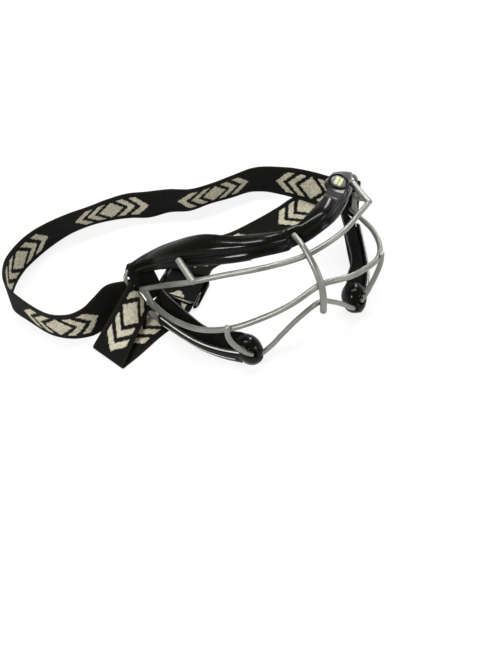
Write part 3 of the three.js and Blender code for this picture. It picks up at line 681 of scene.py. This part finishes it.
def make_webbing():
    s = Shade("woven_elastic", specular=0.06, roughness=0.9, sheen_weight=0.015, sheen_roughness=0.6)
    u, v = s.surface_place()
    threads = ((u, WEAVE_RIB), (v, WEAVE_ROW))
    cell_u, cell_v = [s.times(s.math("FLOOR", s.math("DIVIDE", way, gap)), gap) for way, gap in threads]
    ridge, thread = [s.size(s.math("SINE", s.times(way, pi / gap))) for way, gap in threads]
    high = s.size(s.minus(cell_v, STRAP_WIDTH / 2 - WEAVE_ROW / 2))
    x = s.math("FLOORED_MODULO", s.minus(cell_u, MOTIF_START), MOTIF_PERIOD)
    out = s.size(s.minus(x, MOTIF_CENTRE))
    reach = s.sum(s.math("DIVIDE", out, DIAMOND[0]), s.math("DIVIDE", high, DIAMOND[1]))
    diamond = s.math("LESS_THAN", reach, 1.0)
    slanted = s.sum(out, s.times(high, CHEVRON_SLANT))
    bars = s.math("MAXIMUM", *[s.between(slanted, *span) for span in CHEVRONS])
    motif = s.times(s.math("MAXIMUM", diamond, bars), s.math("LESS_THAN", high, MOTIF_HALF))
    cell = s.node("CombineXYZ", X=cell_u, Y=cell_v).outputs[0]
    grain = s.node("TexWhiteNoise", Vector=cell).outputs[0]
    weave = s.times(s.sum(s.times(ridge, 0.6), 0.4), s.sum(s.times(thread, 0.5), 0.5))
    wear = s.noise(90, 4)
    black = s.mixed(wear, (0.0035, 0.0035, 0.0032), (0.0080, 0.0080, 0.0074))
    black = s.mixed(s.step(high, *EDGE_BAND), black, (0.012, 0.010, 0.007))
    beige = s.mixed(grain, (0.34, 0.315, 0.235), (0.56, 0.525, 0.405))
    colour = s.mixed(motif, black, beige)
    # Painted shade: the colour darkens in the gaps between the yarns, where the weave is low
    painted_gap_shade = s.sum(s.times(weave, 0.45), 0.6)
    s.bump(s.sum(weave, s.times(motif, 0.35)), 0.22, 0.9)
    return s.paint(s.mixed(1.0, colour, painted_gap_shade, "MULTIPLY"))


def make_badge():
    s = Shade("badge_print", specular=0.3, roughness=0.35)
    u, v = s.surface_place()
    turn_u, turn_v = PRINT_TURN
    low, high = PRINT_ROW
    along = s.sum(s.times(u, turn_u), s.times(v, turn_v))
    rise = s.minus(s.times(v, turn_u), s.times(u, turn_v))
    leaned = s.minus(along, s.times(s.size(rise), 0.6))
    bars = s.math("GREATER_THAN", s.math("FLOORED_MODULO", leaned, PRINT_PITCH), PRINT_GAP)
    rows = s.math("MAXIMUM", s.between(rise, low, high), s.between(rise, -high, -low))
    inside = s.math("LESS_THAN", s.size(along), PRINT_REACH)
    far = s.math("SQRT", s.sum(s.times(u, u), s.times(v, v)))
    ring = s.between(far, *PRINT_RING)
    print_area = s.times(s.times(bars, rows), inside)
    face = s.mixed(s.noise(700, 4), (0.040, 0.040, 0.035), (0.068, 0.068, 0.060))
    colour = s.mixed(print_area, face, (0.52, 0.55, 0.27))
    s.bump(s.noise(1800, 3), 0.03, 0.4)
    roughness = s.step(s.noise(500), 0.3, 0.7, 0.28, 0.42)
    return s.paint(s.mixed(ring, colour, (0.09, 0.09, 0.085)), roughness)


steel = make_steel()
gloss = make_gloss()
foam = make_foam("pad_foam", (0.0022, 0.0022, 0.0020), (0.0055, 0.0055, 0.0050), 1.0)
edging = make_foam("pad_edge", (0.055, 0.055, 0.054), (0.11, 0.11, 0.105), 0.0)
satin = make_satin()
# Painted highlight: light-grey beads for the bright edges of the cheek covers
bead = make_highlight_bead()
webbing = make_webbing()
badge_print = make_badge()


# Cage
def behind_bar(path, way):
    """Draws a wire back where it meets the nose bar, so that the bar runs on in front of it."""
    near = 1 - smooth(np.abs(path[:, 0]), 1.5, 9.0)
    return path + near[:, None] * unit(way) * WIRE_SETBACK


upper, lower = full(UPPER_WIRE), full(LOWER_WIRE)
upper_right = behind_bar(even(upper.line(160, 0.5, 1.0), 0.9), (0, 0.5, -0.85))
lower_right = behind_bar(even(lower.line(180, 0.5, 1.0), 0.9), (0, 0.8, -0.6))


def pressed(along, left):
    """The lower wire's rear end is pressed broad."""
    return 1 + 0.34 * (1 - smooth(left, 4, 24))


def sleeved(along, left):
    """The strut's foot is pressed a little broad."""
    return 1 + 0.16 * (1 - smooth(along, 9.0, 12.0))


def tapered(along, left):
    """The nose bar is slimmer where it leaves the brow bar."""
    return 0.84 + 0.2 * smooth(along, 2.0, 34.0)


strut_line = even(half(STRUT).line(60), 0.5)
post_foot, post_head = map(place, POST)
post_line = even([post_foot, post_foot + (post_head - post_foot) * POST_SHOWN], 0.5)
bar_centre, bar_axis = place(LOOP_CENTRE), leaning(LOOP_LEAN)
bar_reach = bar_axis * (STRAP_WIDTH / 2 + BAR_SLACK + LOOP_BEND / 2)
loop_ends = [bar_centre + bar_reach, bar_centre - bar_reach]
loop_line = bent([place(LOOP_ROOT), *loop_ends, place(LOOP_ARM), place(LOOP_FOOT)], LOOP_BEND)
link_lines = [even([lower.at((1 + a) / 2), upper.at((1 + b) / 2)], 0.5) for a, b in LINK_ENDS]
weld, link = {"flare": (WELD_FLARE, 0)}, {"flare": (LINK_FLARE, LINK_FLARE), "flat": STRIP_FLAT}
paired_wires = [
    ("cage_upper", upper_right, UPPER_GAUGE, "upper_wire", weld),
    ("cage_lower", lower_right, CAGE_WIRE, "lower_wire", {**weld, "flat": pressed}),
    ("cage_post", post_line, POST_WIRE, "upper_post", {"sides": 24}),
    ("cage_strut", strut_line, STRUT_WIRE, "cheek_strut", {"flat": sleeved}),
    ("loop_wire", loop_line, LOOP_WIRE, "temple_loop", {}),
    ("link_rear", link_lines[0], LINK_WIRE, "temple_link_rear", link),
    ("link_front", link_lines[1], LINK_WIRE, "temple_link_front", link),
]
for side, mirror in (("right", np.asarray), ("left", flip)):
    for name, line, gauge, node, options in paired_wires:
        wire(f"{name}_{side}", mirror(line), gauge, f"{node}_{side}", **options)
nose_line = even(half(NOSE_BAR).line(90, 0.02), 0.7)
wire("nose_post", nose_line, BAR_GAUGE, "nose_bar", sides=26, gauge=tapered)
wire("nose_arch", even(full(NOSE_SPAN).line(200), 0.8), NOSE_WIRE, "nose_wire")


# Brow bar
ridge, rear, front_edge = full(BROW_RIDGE), full(BROW_REAR), full(BROW_LOWER)


def legs(t):
    """Ridge point, the ways to the rear and lower edges, and how far they are."""
    corner = ridge.at(t)
    back, low = rear.at(t) - corner, front_edge.at(t) - corner
    return corner, unit(back), unit(low), norm(back), norm(low)


def lip(start, end, out):
    """Rounded edge between an outer and an inner surface."""
    turn = linspace(0, pi, 5)[1:-1]
    middle, arm = (start + end) / 2, (start - end) / 2
    return [middle + arm * cos(a) + out * norm(arm) * LIP_ROUND * sin(a) for a in turn]


badge_axis, badge_place = leaning(BADGE_LEAN), place(BADGE)
badge_side = unit(np.cross(badge_axis, vec(0, 1, 0.1)))
badge_lift = np.cross(badge_axis, badge_side)


def from_badge(points):
    """Height over the badge's face, and distance from its axis."""
    apart = points - badge_place
    high = apart @ badge_axis
    return high, norm(apart - high[:, None] * badge_axis, axis=1)


def seen_at(points):
    """Share across and up in the photo's view, and the distance from its camera."""
    line = points - (vec(CAMERA_PLACE) / MM - ORIGIN)
    away = -(line @ vec(CAMERA_BACK))
    return line @ vec(CAMERA_RIGHT) / away, line @ vec(CAMERA_UP) / away, away


def under_badge(points, clear):
    """Keeps what lies behind the badge from standing above it in the photo's view."""
    high, far = from_badge(points)
    (aside, back, away), (badge_aside, badge_back, badge_away) = seen_at(points), seen_at(badge_place)
    aside, back = (aside - badge_aside) * badge_away, (back - badge_back) * badge_away
    near = (1 - smooth(far, *CLEAR_REACH)) * smooth(high, *CLEAR_DEPTH)
    outline = clear - CLEAR_CURVE * (aside - CLEAR_SHIFT) ** 2
    surplus = np.maximum(back - outline, 0) * near * away / badge_away
    return points - surplus[:, None] * vec(CAMERA_UP)


def recessed(points):
    """Lowers the shell round the badge, so that the boss stands clear of it."""
    high, far = from_badge(points)
    reach = RECESS_SLOPE[1]
    ceiling = RECESS_DEPTH + RECESS_RIM * smooth(far, *RECESS_EDGE)
    ceiling = ceiling + RECESS_RISE * smooth(far, *RECESS_SLOPE)
    behind = np.maximum((points - badge_place)[:, 1] - 7.0, 0)
    fall = RECESS_FALL * behind**2 + RECESS_RISE * smooth(behind, 0, 4.0)
    ceiling -= fall * (1 - smooth(far, 15.0, reach))
    near = (far < reach) & (high > -6.0)
    sunk = np.where(near, np.maximum(high - ceiling, 0), 0)
    return under_badge(points - sunk[:, None] * badge_axis, BADGE_CLEAR)


def brow_ring(t):
    """Section of the bar: a crowned top, a face with a channel and a bead, and the inside."""
    corner, inwards, down, top, face = legs(t)
    wall = min(BROW_WALL, WALL_SHARE * min(top, face))
    outer = []
    for s in linspace(1, 0.1, 16):
        crown = BROW_CROWN * top * sin(pi * s**0.85)
        outer.append(corner + inwards * s * top - down * crown)
    outer += bow(outer[-1], corner, corner + down * BROW_TURN * face, (0.25, 0.5, 0.75))
    for b in linspace(BROW_TURN, 1, 30):
        channel, bead = [smooth(b, *up) - smooth(b, *off) for up, off in (CHANNEL_EDGES, BEAD_EDGES)]
        relief = BEAD_HEIGHT * bead - CHANNEL_DEPTH * channel
        outer.append(corner + down * b * face - inwards * relief)
    low_in = corner + down * face + inwards * wall
    inner = [corner + down * (wall + b * (face - wall)) + inwards * wall for b in linspace(1, 0, 7)]
    inner += [corner + inwards * (wall + s * (top - wall)) + down * wall for s in linspace(0.1, 1, 9)]
    ring = outer + lip(outer[-1], low_in, down) + inner + lip(inner[-1], outer[0], inwards)
    notch = 1 - smooth(abs(corner[0]), *NOTCH_SPAN)
    return recessed(np.array(ring) + (inwards * NOTCH_IN + down * NOTCH_DOWN) * notch)


def badge_rings(profile):
    """Round form on the badge's axis, from radii and heights."""
    spokes = [cos(a) * badge_side + sin(a) * badge_lift for a in round_turn(72)]
    return [
        [badge_place + badge_axis * h + max(r, 0.02) * spoke for spoke in spokes] for r, h in profile
    ]


# The notch in the middle of the bar takes closer rings
turns = np.concatenate([linspace(0, 1, 150), 0.5 + linspace(-0.032, 0.032, 60)])
turns = np.unique(np.round(turns, 5))
shell = loft("brow_bar", domed([brow_ring(t) for t in turns], SHELL_DOME), gloss)
boss_profile = [
    (0, -2.1), (5.0, -2.1), (5.3, -1.9), (5.32, -0.4), (5.45, -0.1), (5.75, 0.02), (6.1, -0.02),
    (6.45, -0.25), (6.68, -0.7), (6.75, -1.4), (6.85, -2.2), (7.1, -3.0), (7.5, -3.9), (8.0, -5.0),
    (0, -5.0),
]
boss = loft("badge_boss", badge_rings(boss_profile), gloss)
work = bmesh.new()
for part in (shell, boss):
    work.from_mesh(part.data)
work.to_mesh(shell.data)
work.free()
bpy.data.objects.remove(boss)
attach(shell, BODY)
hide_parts("brow_shell")

disc_profile = [(0, -0.42)] + [(r, -0.42 - 0.012 * r * r / 2) for r in (1, 2, 3, 4, 4.5)]
disc_profile += [(4.8, -0.62), (5.0, -0.9), (5.0, -2.1), (0, -2.1)]
disc = loft("badge_face", badge_rings(disc_profile), badge_print)
for loop in disc.data.loops:
    spot = np.array(disc.data.vertices[loop.vertex_index].co) / MM - ORIGIN - badge_place
    on_face = (spot.dot(badge_side) * MM, spot.dot(badge_lift) * MM)
    disc.data.uv_layers["surface"].data[loop.index].uv = on_face
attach(disc, BODY)
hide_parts("badge_disc")


def brow_pad_ring(t):
    corner, inwards, down, top, face = legs(t)
    back, front = corner + inwards * top, corner + down * face
    drop_share, depth_share = [np.interp(t * 12 - 6, range(7), row) for row in (PAD_DROPS, PAD_DEPTHS)]
    wall = min(BROW_WALL, WALL_SHARE * min(top, face)) + 1.9 * FIT_GAP
    front_mid = front + inwards * wall
    front_low = front_mid - vec(0, 0, BROW_PAD_DROP * drop_share)
    back_low = front_low + inwards * (BROW_PAD_DEPTH * depth_share)
    back_top = back + down * wall - inwards * FIT_GAP
    bulge = (back_low + back_top) / 2 + inwards * 0.8
    front_top = corner + inwards * wall + down * wall
    corners = [front_top, front_mid, front_low, back_low, bulge, back_top]
    return same_count(rounded(corners, BROW_PAD_ROUNDS), 72)


def pad_under_badge(ring):
    return under_badge(np.asarray(ring), PAD_CLEAR)


def made_pair(name, rings, material, node="", right_turn=np.asarray):
    """The right-hand piece and its mirror image."""
    made = []
    for side, turn in (("right", right_turn), ("left", flip)):
        piece = loft(f"{name}_{side}", [turn(r) for r in rings], material)
        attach(piece, BODY)
        if node:
            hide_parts(f"{node}_{side}")
        made.append(piece)
    return made


def pad_pair(name, rings, node, right_turn=np.asarray):
    """Foam pads on both sides."""
    for pad in made_pair(name, rings, foam, node, right_turn):
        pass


pad_rings = domed([brow_pad_ring(t) for t in linspace(*BROW_PAD_SPAN, 70)], BROW_PAD_DOME)
pad_pair("brow_foam", pad_rings, "brow_pad", pad_under_badge)


# Cheek pieces
rim, sill, inner_edge = half(CHEEK_RIM), half(CHEEK_FOOT), half(CHEEK_INNER)


def cheek_ring(t):
    """Section of the cover: a wall that bulges outwards, and a floor."""
    corner = sill.at(t)
    rise, run = rim.at(t) - corner, inner_edge.at(t) - corner
    up, inwards = unit(rise), unit(run)
    tall, deep = norm(rise), norm(run)
    wall = min(CHEEK_WALL, WALL_SHARE * min(tall, deep))
    outer = []
    for a in linspace(1, 0.08, 46):
        body = smooth(1 - a, 0.0, 0.06) * (0.45 + 0.55 * smooth(1 - a, 0.0, 0.2))
        body *= smooth(a, 0.04, 0.34)
        outer.append(corner + up * a * tall - inwards * CHEEK_BULGE * body)
    outer += bow(outer[-1], corner, corner + inwards * CHEEK_TURN * deep, (0.25, 0.5, 0.75))
    outer += [corner + inwards * s * deep for s in linspace(CHEEK_TURN, 1, 8)]
    inner = [corner + inwards * (wall + s * (deep - wall)) + up * wall for s in linspace(1, 0, 6)]
    inner += [corner + up * (wall + a * (tall - wall)) + inwards * wall for a in linspace(0.15, 1, 7)]
    ring = outer + lip(outer[-1], inner[0], inwards) + inner + lip(inner[-1], outer[0], up)
    return np.array(ring)


cover_rings = domed([cheek_ring(t) for t in linspace(0, 1, 80)], CHEEK_DOME)
made_pair("cheek_cover", cover_rings, satin, "cheek_shell")

# Two light-grey beads along the cover, painted highlights where its glossy rim and wall catch the
# light: one on its rim, one half way down its wall
for number, (row, thick, start, end) in enumerate(CHEEK_HIGHLIGHT_LINES):
    line = even([cheek_ring(t)[row] for t in linspace(start, end, 70)], 0.8)
    made_pair(f"cheek_line_{number + 1}", tube_rings(line, thick, sides=10), bead)

cheek_edges = (CHEEK_RIM, CHEEK_FOOT, CHEEK_BACK, CHEEK_INNER)
pad_edges = [half([heel, *edge]) for heel, edge in zip(PAD_HEEL, cheek_edges)]


def cheek_pad_corners(t):
    """Low and high corner at the wall, crown, back crest and inner heel of the pad's section."""
    top, corner, crest, inner = [edge.at(t) for edge in pad_edges]
    up, inwards = unit(top - corner), unit(inner - corner)
    offset = CHEEK_WALL + FIT_GAP
    low = corner + up * offset + inwards * offset
    high = top - up * 1.0 + inwards * offset
    crown = (high + crest) / 2 + unit(up - inwards) * CHEEK_PAD_CROWN
    heel = inner + up * offset - inwards * FIT_GAP
    return low, high, crown, crest, heel


cheek_turns = linspace(0, 1, 90)
cheek_rings = [same_count(rounded(cheek_pad_corners(t), CHEEK_PAD_ROUNDS), 72) for t in cheek_turns]
pad_pair("cheek_foam", domed(cheek_rings, SHELL_DOME), "cheek_pad")

# Grey edging along the pad's back crest
seam = []
for t in linspace(0.03, 0.97, 120):
    crown, crest, heel = cheek_pad_corners(t)[2:]
    seam.append(crest + unit(crown - crest) * 0.45 + unit(heel - crest) * 0.2)
made_pair("cheek_foam_edge", tube_rings(even(seam, 0.8), SEAM_RADIUS, sides=10), edging)

temple_outer, temple_inner = half(TEMPLE_OUTER), half(TEMPLE_INNER)
temple_rings = []
depth_way = unit(TEMPLE_DEPTH)
back = depth_way * TEMPLE_PAD_THICK
for t in linspace(0, 1, 36):
    outer, inner = temple_outer.at(t), temple_inner.at(t)
    bar_spot = bar_centre + bar_axis * (outer[2] - bar_centre[2]) / bar_axis[2]
    outer = outer + unit((bar_spot - outer) * (1, 1, 0)) * np.interp(4 * t, range(5), TEMPLE_REACH)
    middle = (outer + inner) / 2
    front = outer * 0.7 + inner * 0.3 - depth_way * 2.4 * sin(pi * t) ** 2
    corners = [
        outer, front, middle - depth_way * 0.9, inner, inner + back, middle + back * 1.15, outer + back,
    ]
    temple_rings.append(same_count(rounded(corners, TEMPLE_PAD_ROUNDS), 56))
pad_pair("temple_foam", domed(temple_rings, SHELL_DOME), "temple_pad", pad_under_badge)

# Round front foot: a crease round its cap, a fuller toe, and grooves in which the wires lie
foot_centre = vec(FOOT[0] * HALF_WIDTH, FOOT[1] * FRAME_DEPTH, FOOT_RADII[2] - FOOT_FLAT)
foot_turn = atan2(FOOT_TURN[1], FOOT_TURN[0]) - pi / 2
turn_cos, turn_sin = cos(foot_turn), sin(foot_turn)
cap_axis = unit((0.62, -0.15, 0.77))
toe_way = unit((-0.1, -0.75, -0.5))
groove_out = unit((-0.25, -0.6, 0.75))
arch_end = even(half(NOSE_SPAN).line(200), 0.8)[-20:]


def carved(spot, line, radius):
    """Sinks a point of the foot that lies over a wire."""
    nearest = line[np.argmin(norm(line - spot, axis=1))]
    apart = spot - nearest
    out = apart.dot(groove_out)
    aside = norm(apart - out * groove_out)
    depth = (out + GROOVE_SINK * radius) * (1 - smooth(aside, radius * 1.05, radius * 1.6))
    return spot - groove_out * depth if out > -GROOVE_SINK * radius else spot


foot_rings = []
for tilt in linspace(0.02, pi - 0.02, 90):
    ring = []
    for angle in round_turn(110):
        level = sin(tilt)
        way = vec(level * cos(angle), level * sin(angle), cos(tilt))
        far = way.dot(cap_axis)
        rim_swell, cap_sink = exp(-(((far - 0.02) / 0.03) ** 2)), 1 - smooth(far, -0.06, 0.0)
        size = 1 + 0.03 * rim_swell - 0.035 * cap_sink + 0.13 * smooth(way.dot(toe_way), 0.3, 1.0)
        x, y, z = way * FOOT_RADII * size
        turned = vec(x * turn_cos - y * turn_sin, x * turn_sin + y * turn_cos, z)
        spot = carved(foot_centre + turned, strut_line[:24], STRUT_WIRE / 2)
        spot = carved(spot, arch_end, NOSE_WIRE / 2)
        spot[2] = max(spot[2], 0.0)
        ring.append(spot)
    foot_rings.append(ring)
made_pair("cheek_bulb", foot_rings, gloss, "cheek_foot")

# Two ribs of the catch that holds the strut in its groove
strut_way = unit(strut_line[14] - strut_line[2])
ring_side = unit(np.cross(strut_way, groove_out))
ring_out = unit(np.cross(ring_side, strut_way))
for number, (along, node) in enumerate(((5, "strut_collar"), (11, ""))):
    rings = []
    for a in linspace(*CATCH_ARC, 20):
        spoke = ring_side * cos(a) + ring_out * sin(a)
        rings.append([strut_line[along] + spoke * r + strut_way * h for r, h in CATCH_RIB])
    made_pair(f"strut_catch_{number + 1}", rings, gloss, node)


# Strap
strap_base = place(LOOP_CENTRE)[1]


def laid(x, y, height):
    return vec(x * HALF_WIDTH, strap_base + y * STRAP_REACH, height)


def station(x, y, lean_y, lean_x=0, rise=0):
    """Lower and upper edge of the strap."""
    wide = leaning((lean_x, lean_y))
    lying = sqrt(max(1 - wide[2] ** 2, 0))
    low = laid(x, y, rise * STRAP_WIDTH + lying * STRAP_THICK / 2)
    return low, low + wide * STRAP_WIDTH


def edges_at(centre, wide):
    return centre - wide * STRAP_WIDTH / 2, centre + wide * STRAP_WIDTH / 2


def wrapped(centre, axis, arrival, side, span):
    """Edges of the strap where it turns round a loop's bar."""
    arrival = vec(arrival)
    ahead = unit(arrival - axis * arrival.dot(axis))
    out = np.cross(ahead, axis) * side
    far = LOOP_WIRE / 2 + BAR_PLAY + STRAP_THICK / 2
    turn = [span * i / WRAP_STEPS for i in range(WRAP_STEPS + 1)]
    return [edges_at(centre + out * far * cos(a) + ahead * far * sin(a), axis) for a in turn]


right_wrap = wrapped(bar_centre, bar_axis, RIGHT_ARRIVAL, 1, RIGHT_SPAN)
left_wrap = wrapped(flip(bar_centre), flip(bar_axis), LEFT_ARRIVAL, -1, LEFT_SPAN)
fold_wide = unit((*FOLD_LEAN, 0))
fold_out = np.cross(vec(0, 0, 1), fold_wide)
fold_centre = laid(*FOLD, STRAP_FOLD + STRAP_THICK / 2)
table_fold = []
for i in range(FOLD_STEPS + 1):
    a = FOLD_START + (pi - FOLD_START) * i / FOLD_STEPS
    spot = fold_centre + fold_out * STRAP_FOLD * sin(a) + vec(0, 0, STRAP_FOLD * cos(a))
    table_fold.append(edges_at(spot, fold_wide))
heading = unit((*SLIDER_HEADING, 0))
heading_side = vec(-heading[1], heading[0], 0)
slider_centre = laid(*SLIDER, 0)
lift_up = vec(0, 0, SLIDER_PLATE + FIT_GAP + STRAP_THICK / 2)
straight = []
for way in (-1, -0.6, -0.2, 0.2, 0.6, 1):
    spot = slider_centre + heading * way * (SLIDER_LENGTH / 2 + SLIDER_TRAVEL) + lift_up
    straight.append(edges_at(spot, heading_side))
halfway = tuple((p + q) / 2 for p, q in zip(left_wrap[-1], table_fold[0]))
outer_run, inner_run, back_run = [
    [station(*row) for row in run] for run in (OUTER_RUN, INNER_RUN, BACK_RUN)
]
stations = [*right_wrap, *outer_run, *left_wrap, halfway, *table_fold, *inner_run, *straight, *back_run]
strap_count = len(stations) * STRAP_STEPS
lows, highs = [
    np.array([edge.at(i / strap_count) for i in range(strap_count)])
    for edge in (Spline(line, closed=True) for line in zip(*stations))
]
wides = units(highs - lows)
floors = np.sqrt(np.clip(1 - wides[:, 2] ** 2, 0, 1)) * STRAP_THICK / 2
for edge in (lows, highs):
    edge[:, 2] = np.maximum(edge[:, 2], floors)
middles = (lows + highs) / 2
aheads = np.roll(middles, -1, 0) - np.roll(middles, 1, 0)
outs = units(np.cross(aheads, highs - lows))
edge_turns = linspace(0, pi, EDGE_STEPS + 2)[1:-1]
strap_rings = []
for low, high, wide, out in zip(lows, highs, wides, outs):
    half_thick, edge = out * STRAP_THICK / 2, wide * EDGE_ROUND
    ring = [low + (high - low) * w - half_thick for w in linspace(0.02, 0.98, ACROSS_STEPS)]
    ring += [high - edge + edge * sin(a) - half_thick * cos(a) for a in edge_turns]
    ring += [low + (high - low) * w + half_thick for w in linspace(0.98, 0.02, ACROSS_STEPS)]
    ring += [low + edge - edge * sin(a) + half_thick * cos(a) for a in edge_turns]
    strap_rings.append(ring)
shares = linspace(0.02, 0.98, ACROSS_STEPS) * STRAP_WIDTH
strap_v = [*shares, *[STRAP_WIDTH] * EDGE_STEPS, *shares[::-1], *[0.0] * EDGE_STEPS, shares[0]]
strap = loft("strap_band", strap_rings, webbing, closed=True, across=strap_v)
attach(strap, BODY)
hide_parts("strap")
strap_length = float(norm(np.roll(middles, -1, 0) - middles, axis=1).sum())


# Slider
def prism(length, width, low, high, centre=0.0, radius=0.0):
    """Upright block in the slider's own directions, with rounded corners seen from above."""
    outline = []
    for sx, sy, start in ((1, 1, 0), (-1, 1, 1), (-1, -1, 2), (1, -1, 3)):
        x, y = sx * (length / 2 - radius), sy * (width / 2 - radius)
        corner_turns = linspace(start, start + 1, 9 if radius else 1) * pi / 2
        outline += [(x + radius * cos(a), y + radius * sin(a)) for a in corner_turns]
    spots = [
        slider_centre + heading * (x + centre) + heading_side * y + vec(0, 0, z)
        for z in (low, high) for x, y in outline
    ]
    count = len(outline)
    faces = [range(count)[::-1], range(count, 2 * count)]
    for i in range(count):
        k = (i + 1) % count
        faces.append((i, k, k + count, i + count))
    return shaped("block", spots, faces)


opening = STRAP_WIDTH + 2 * FIT_GAP
slider_height = 2 * SLIDER_PLATE + STRAP_THICK + 2 * FIT_GAP
roof = slider_height - SLIDER_PLATE
floor_length = SLIDER_LENGTH - SLIDER_BAR / 2
glide = prism(SLIDER_LENGTH, opening + 2 * SLIDER_RAIL, 0, slider_height, radius=SLIDER_CORNER)
slots = [
    prism(2 * SLIDER_LENGTH, opening, SLIDER_PLATE, roof),
    prism(SLIDER_LENGTH - 2 * SLIDER_RAIL, opening, SLIDER_PLATE, 2 * slider_height),
]
for way in (-1, 1):
    slot_centre = way * (SLIDER_BAR + floor_length) / 2
    slots.append(prism(floor_length, opening, -SLIDER_PLATE, slider_height / 2, slot_centre))
for tool in slots:
    hollow = glide.modifiers.new("slot", "BOOLEAN")
    hollow.operation = "DIFFERENCE"
    hollow.solver = "EXACT"
    hollow.object = tool
soften = glide.modifiers.new("edges", "BEVEL")
soften.width = SLIDER_SOFT * MM
soften.segments = 4
soften.limit_method = "ANGLE"
soften.angle_limit = radians(40)
finished = glide.evaluated_get(bpy.context.evaluated_depsgraph_get())
finished_mesh = bpy.data.meshes.new_from_object(finished)
glide.modifiers.clear()
glide.data = finished_mesh
for tool in slots:
    bpy.data.objects.remove(tool)
glide.name = "strap_glide"
glide.data.materials.clear()
dressed(glide, gloss)
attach(glide, "slider")
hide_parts("strap_slider")


# Studio
FLOOR_HALF = 4.0
FLOOR_DROP = 0.0002
FLOOR_GREY = 0.86
FLOOR_GLOW = 0.8
SKY_SPAN = (0.1, 0.6)
SKY_LIGHT = (1.0, 0.16)
AIM = (0, 0, 0.03)


def backdrop_material():
    """Pale ground that shows nearly white and still takes soft shadows."""
    s = Shade("white_ground")
    ray = s.node("LightPath").outputs
    mirrored = s.math("MAXIMUM", ray["Is Glossy Ray"], ray["Is Transmission Ray"])
    seen = s.math("MAXIMUM", ray["Is Camera Ray"], mirrored)
    diffuse = s.node("BsdfDiffuse", Color=(FLOOR_GREY, FLOOR_GREY, FLOOR_GREY, 1))
    glow = s.node("Emission", Color=(1, 1, 1, 1))
    mix = s.node("MixShader")
    mixed = (s.times(seen, FLOOR_GLOW), diffuse.outputs[0], glow.outputs[0])
    for value, socket in zip(mixed, mix.inputs):
        s.put(value, socket)
    s.put(mix.outputs[0], s.nodes["Material Output"].inputs["Surface"])
    return s.owner


floor_mesh = bpy.data.meshes.new("ground")
floor_corners = [(x * FLOOR_HALF, y * FLOOR_HALF, 0) for x, y in ((-1, -1), (1, -1), (1, 1), (-1, 1))]
floor_mesh.from_pydata(floor_corners, [], [(0, 1, 2, 3)])
ground = added("ground", floor_mesh)
floor_mesh.materials.append(backdrop_material())
ground.location.z = -FLOOR_DROP


def standing(*columns):
    """Placing matrix from the right, up and back ways and the spot."""
    return Matrix([[column[k] for column in columns] for k in range(3)] + [[0, 0, 0, 1]])


def softbox(name, place_at, size, power):
    """Rectangular light that faces the part."""
    light = bpy.data.lights.new(name, "AREA")
    light.shape = "RECTANGLE"
    light.size, light.size_y = size
    light.energy = power
    back = unit(vec(place_at) - vec(AIM))
    right = unit(np.cross(vec(0, 0, 1), back))
    added(name, light).matrix_world = standing(right, np.cross(back, right), back, place_at)


softbox("overhead", (0.1, 0.35, 1.1), (0.9, 0.14), 13)
softbox("window", (-0.9, -0.2, 0.9), (0.26, 0.26), 10)
softbox("strip", (0.9, 0.71, 0.64), (0.22, 0.5), 8)
softbox("fill", (0.9, -0.9, 0.8), (0.4, 0.4), 6)

# The sky is white near the horizon and dim overhead, as in a room with a dark ceiling
world = bpy.data.worlds.new("studio")
scene.world = world
sky = Nodes(world)
background = sky.nodes["Background"].inputs
height = sky.split(sky.place("Generated"))[2]
sky.put(sky.step(height, *SKY_SPAN, *SKY_LIGHT), background["Strength"])
background["Color"].default_value = (1, 1, 1, 1)
scene.view_settings.view_transform = "Standard"

view = bpy.data.cameras.new("camera")
view.sensor_fit = "VERTICAL"
view.sensor_height = SENSOR
view.lens = CAMERA_LENS
view.clip_start = 0.01
camera = added("camera", view)
camera.matrix_world = standing(CAMERA_RIGHT, CAMERA_UP, CAMERA_BACK, CAMERA_PLACE)
scene.camera = camera
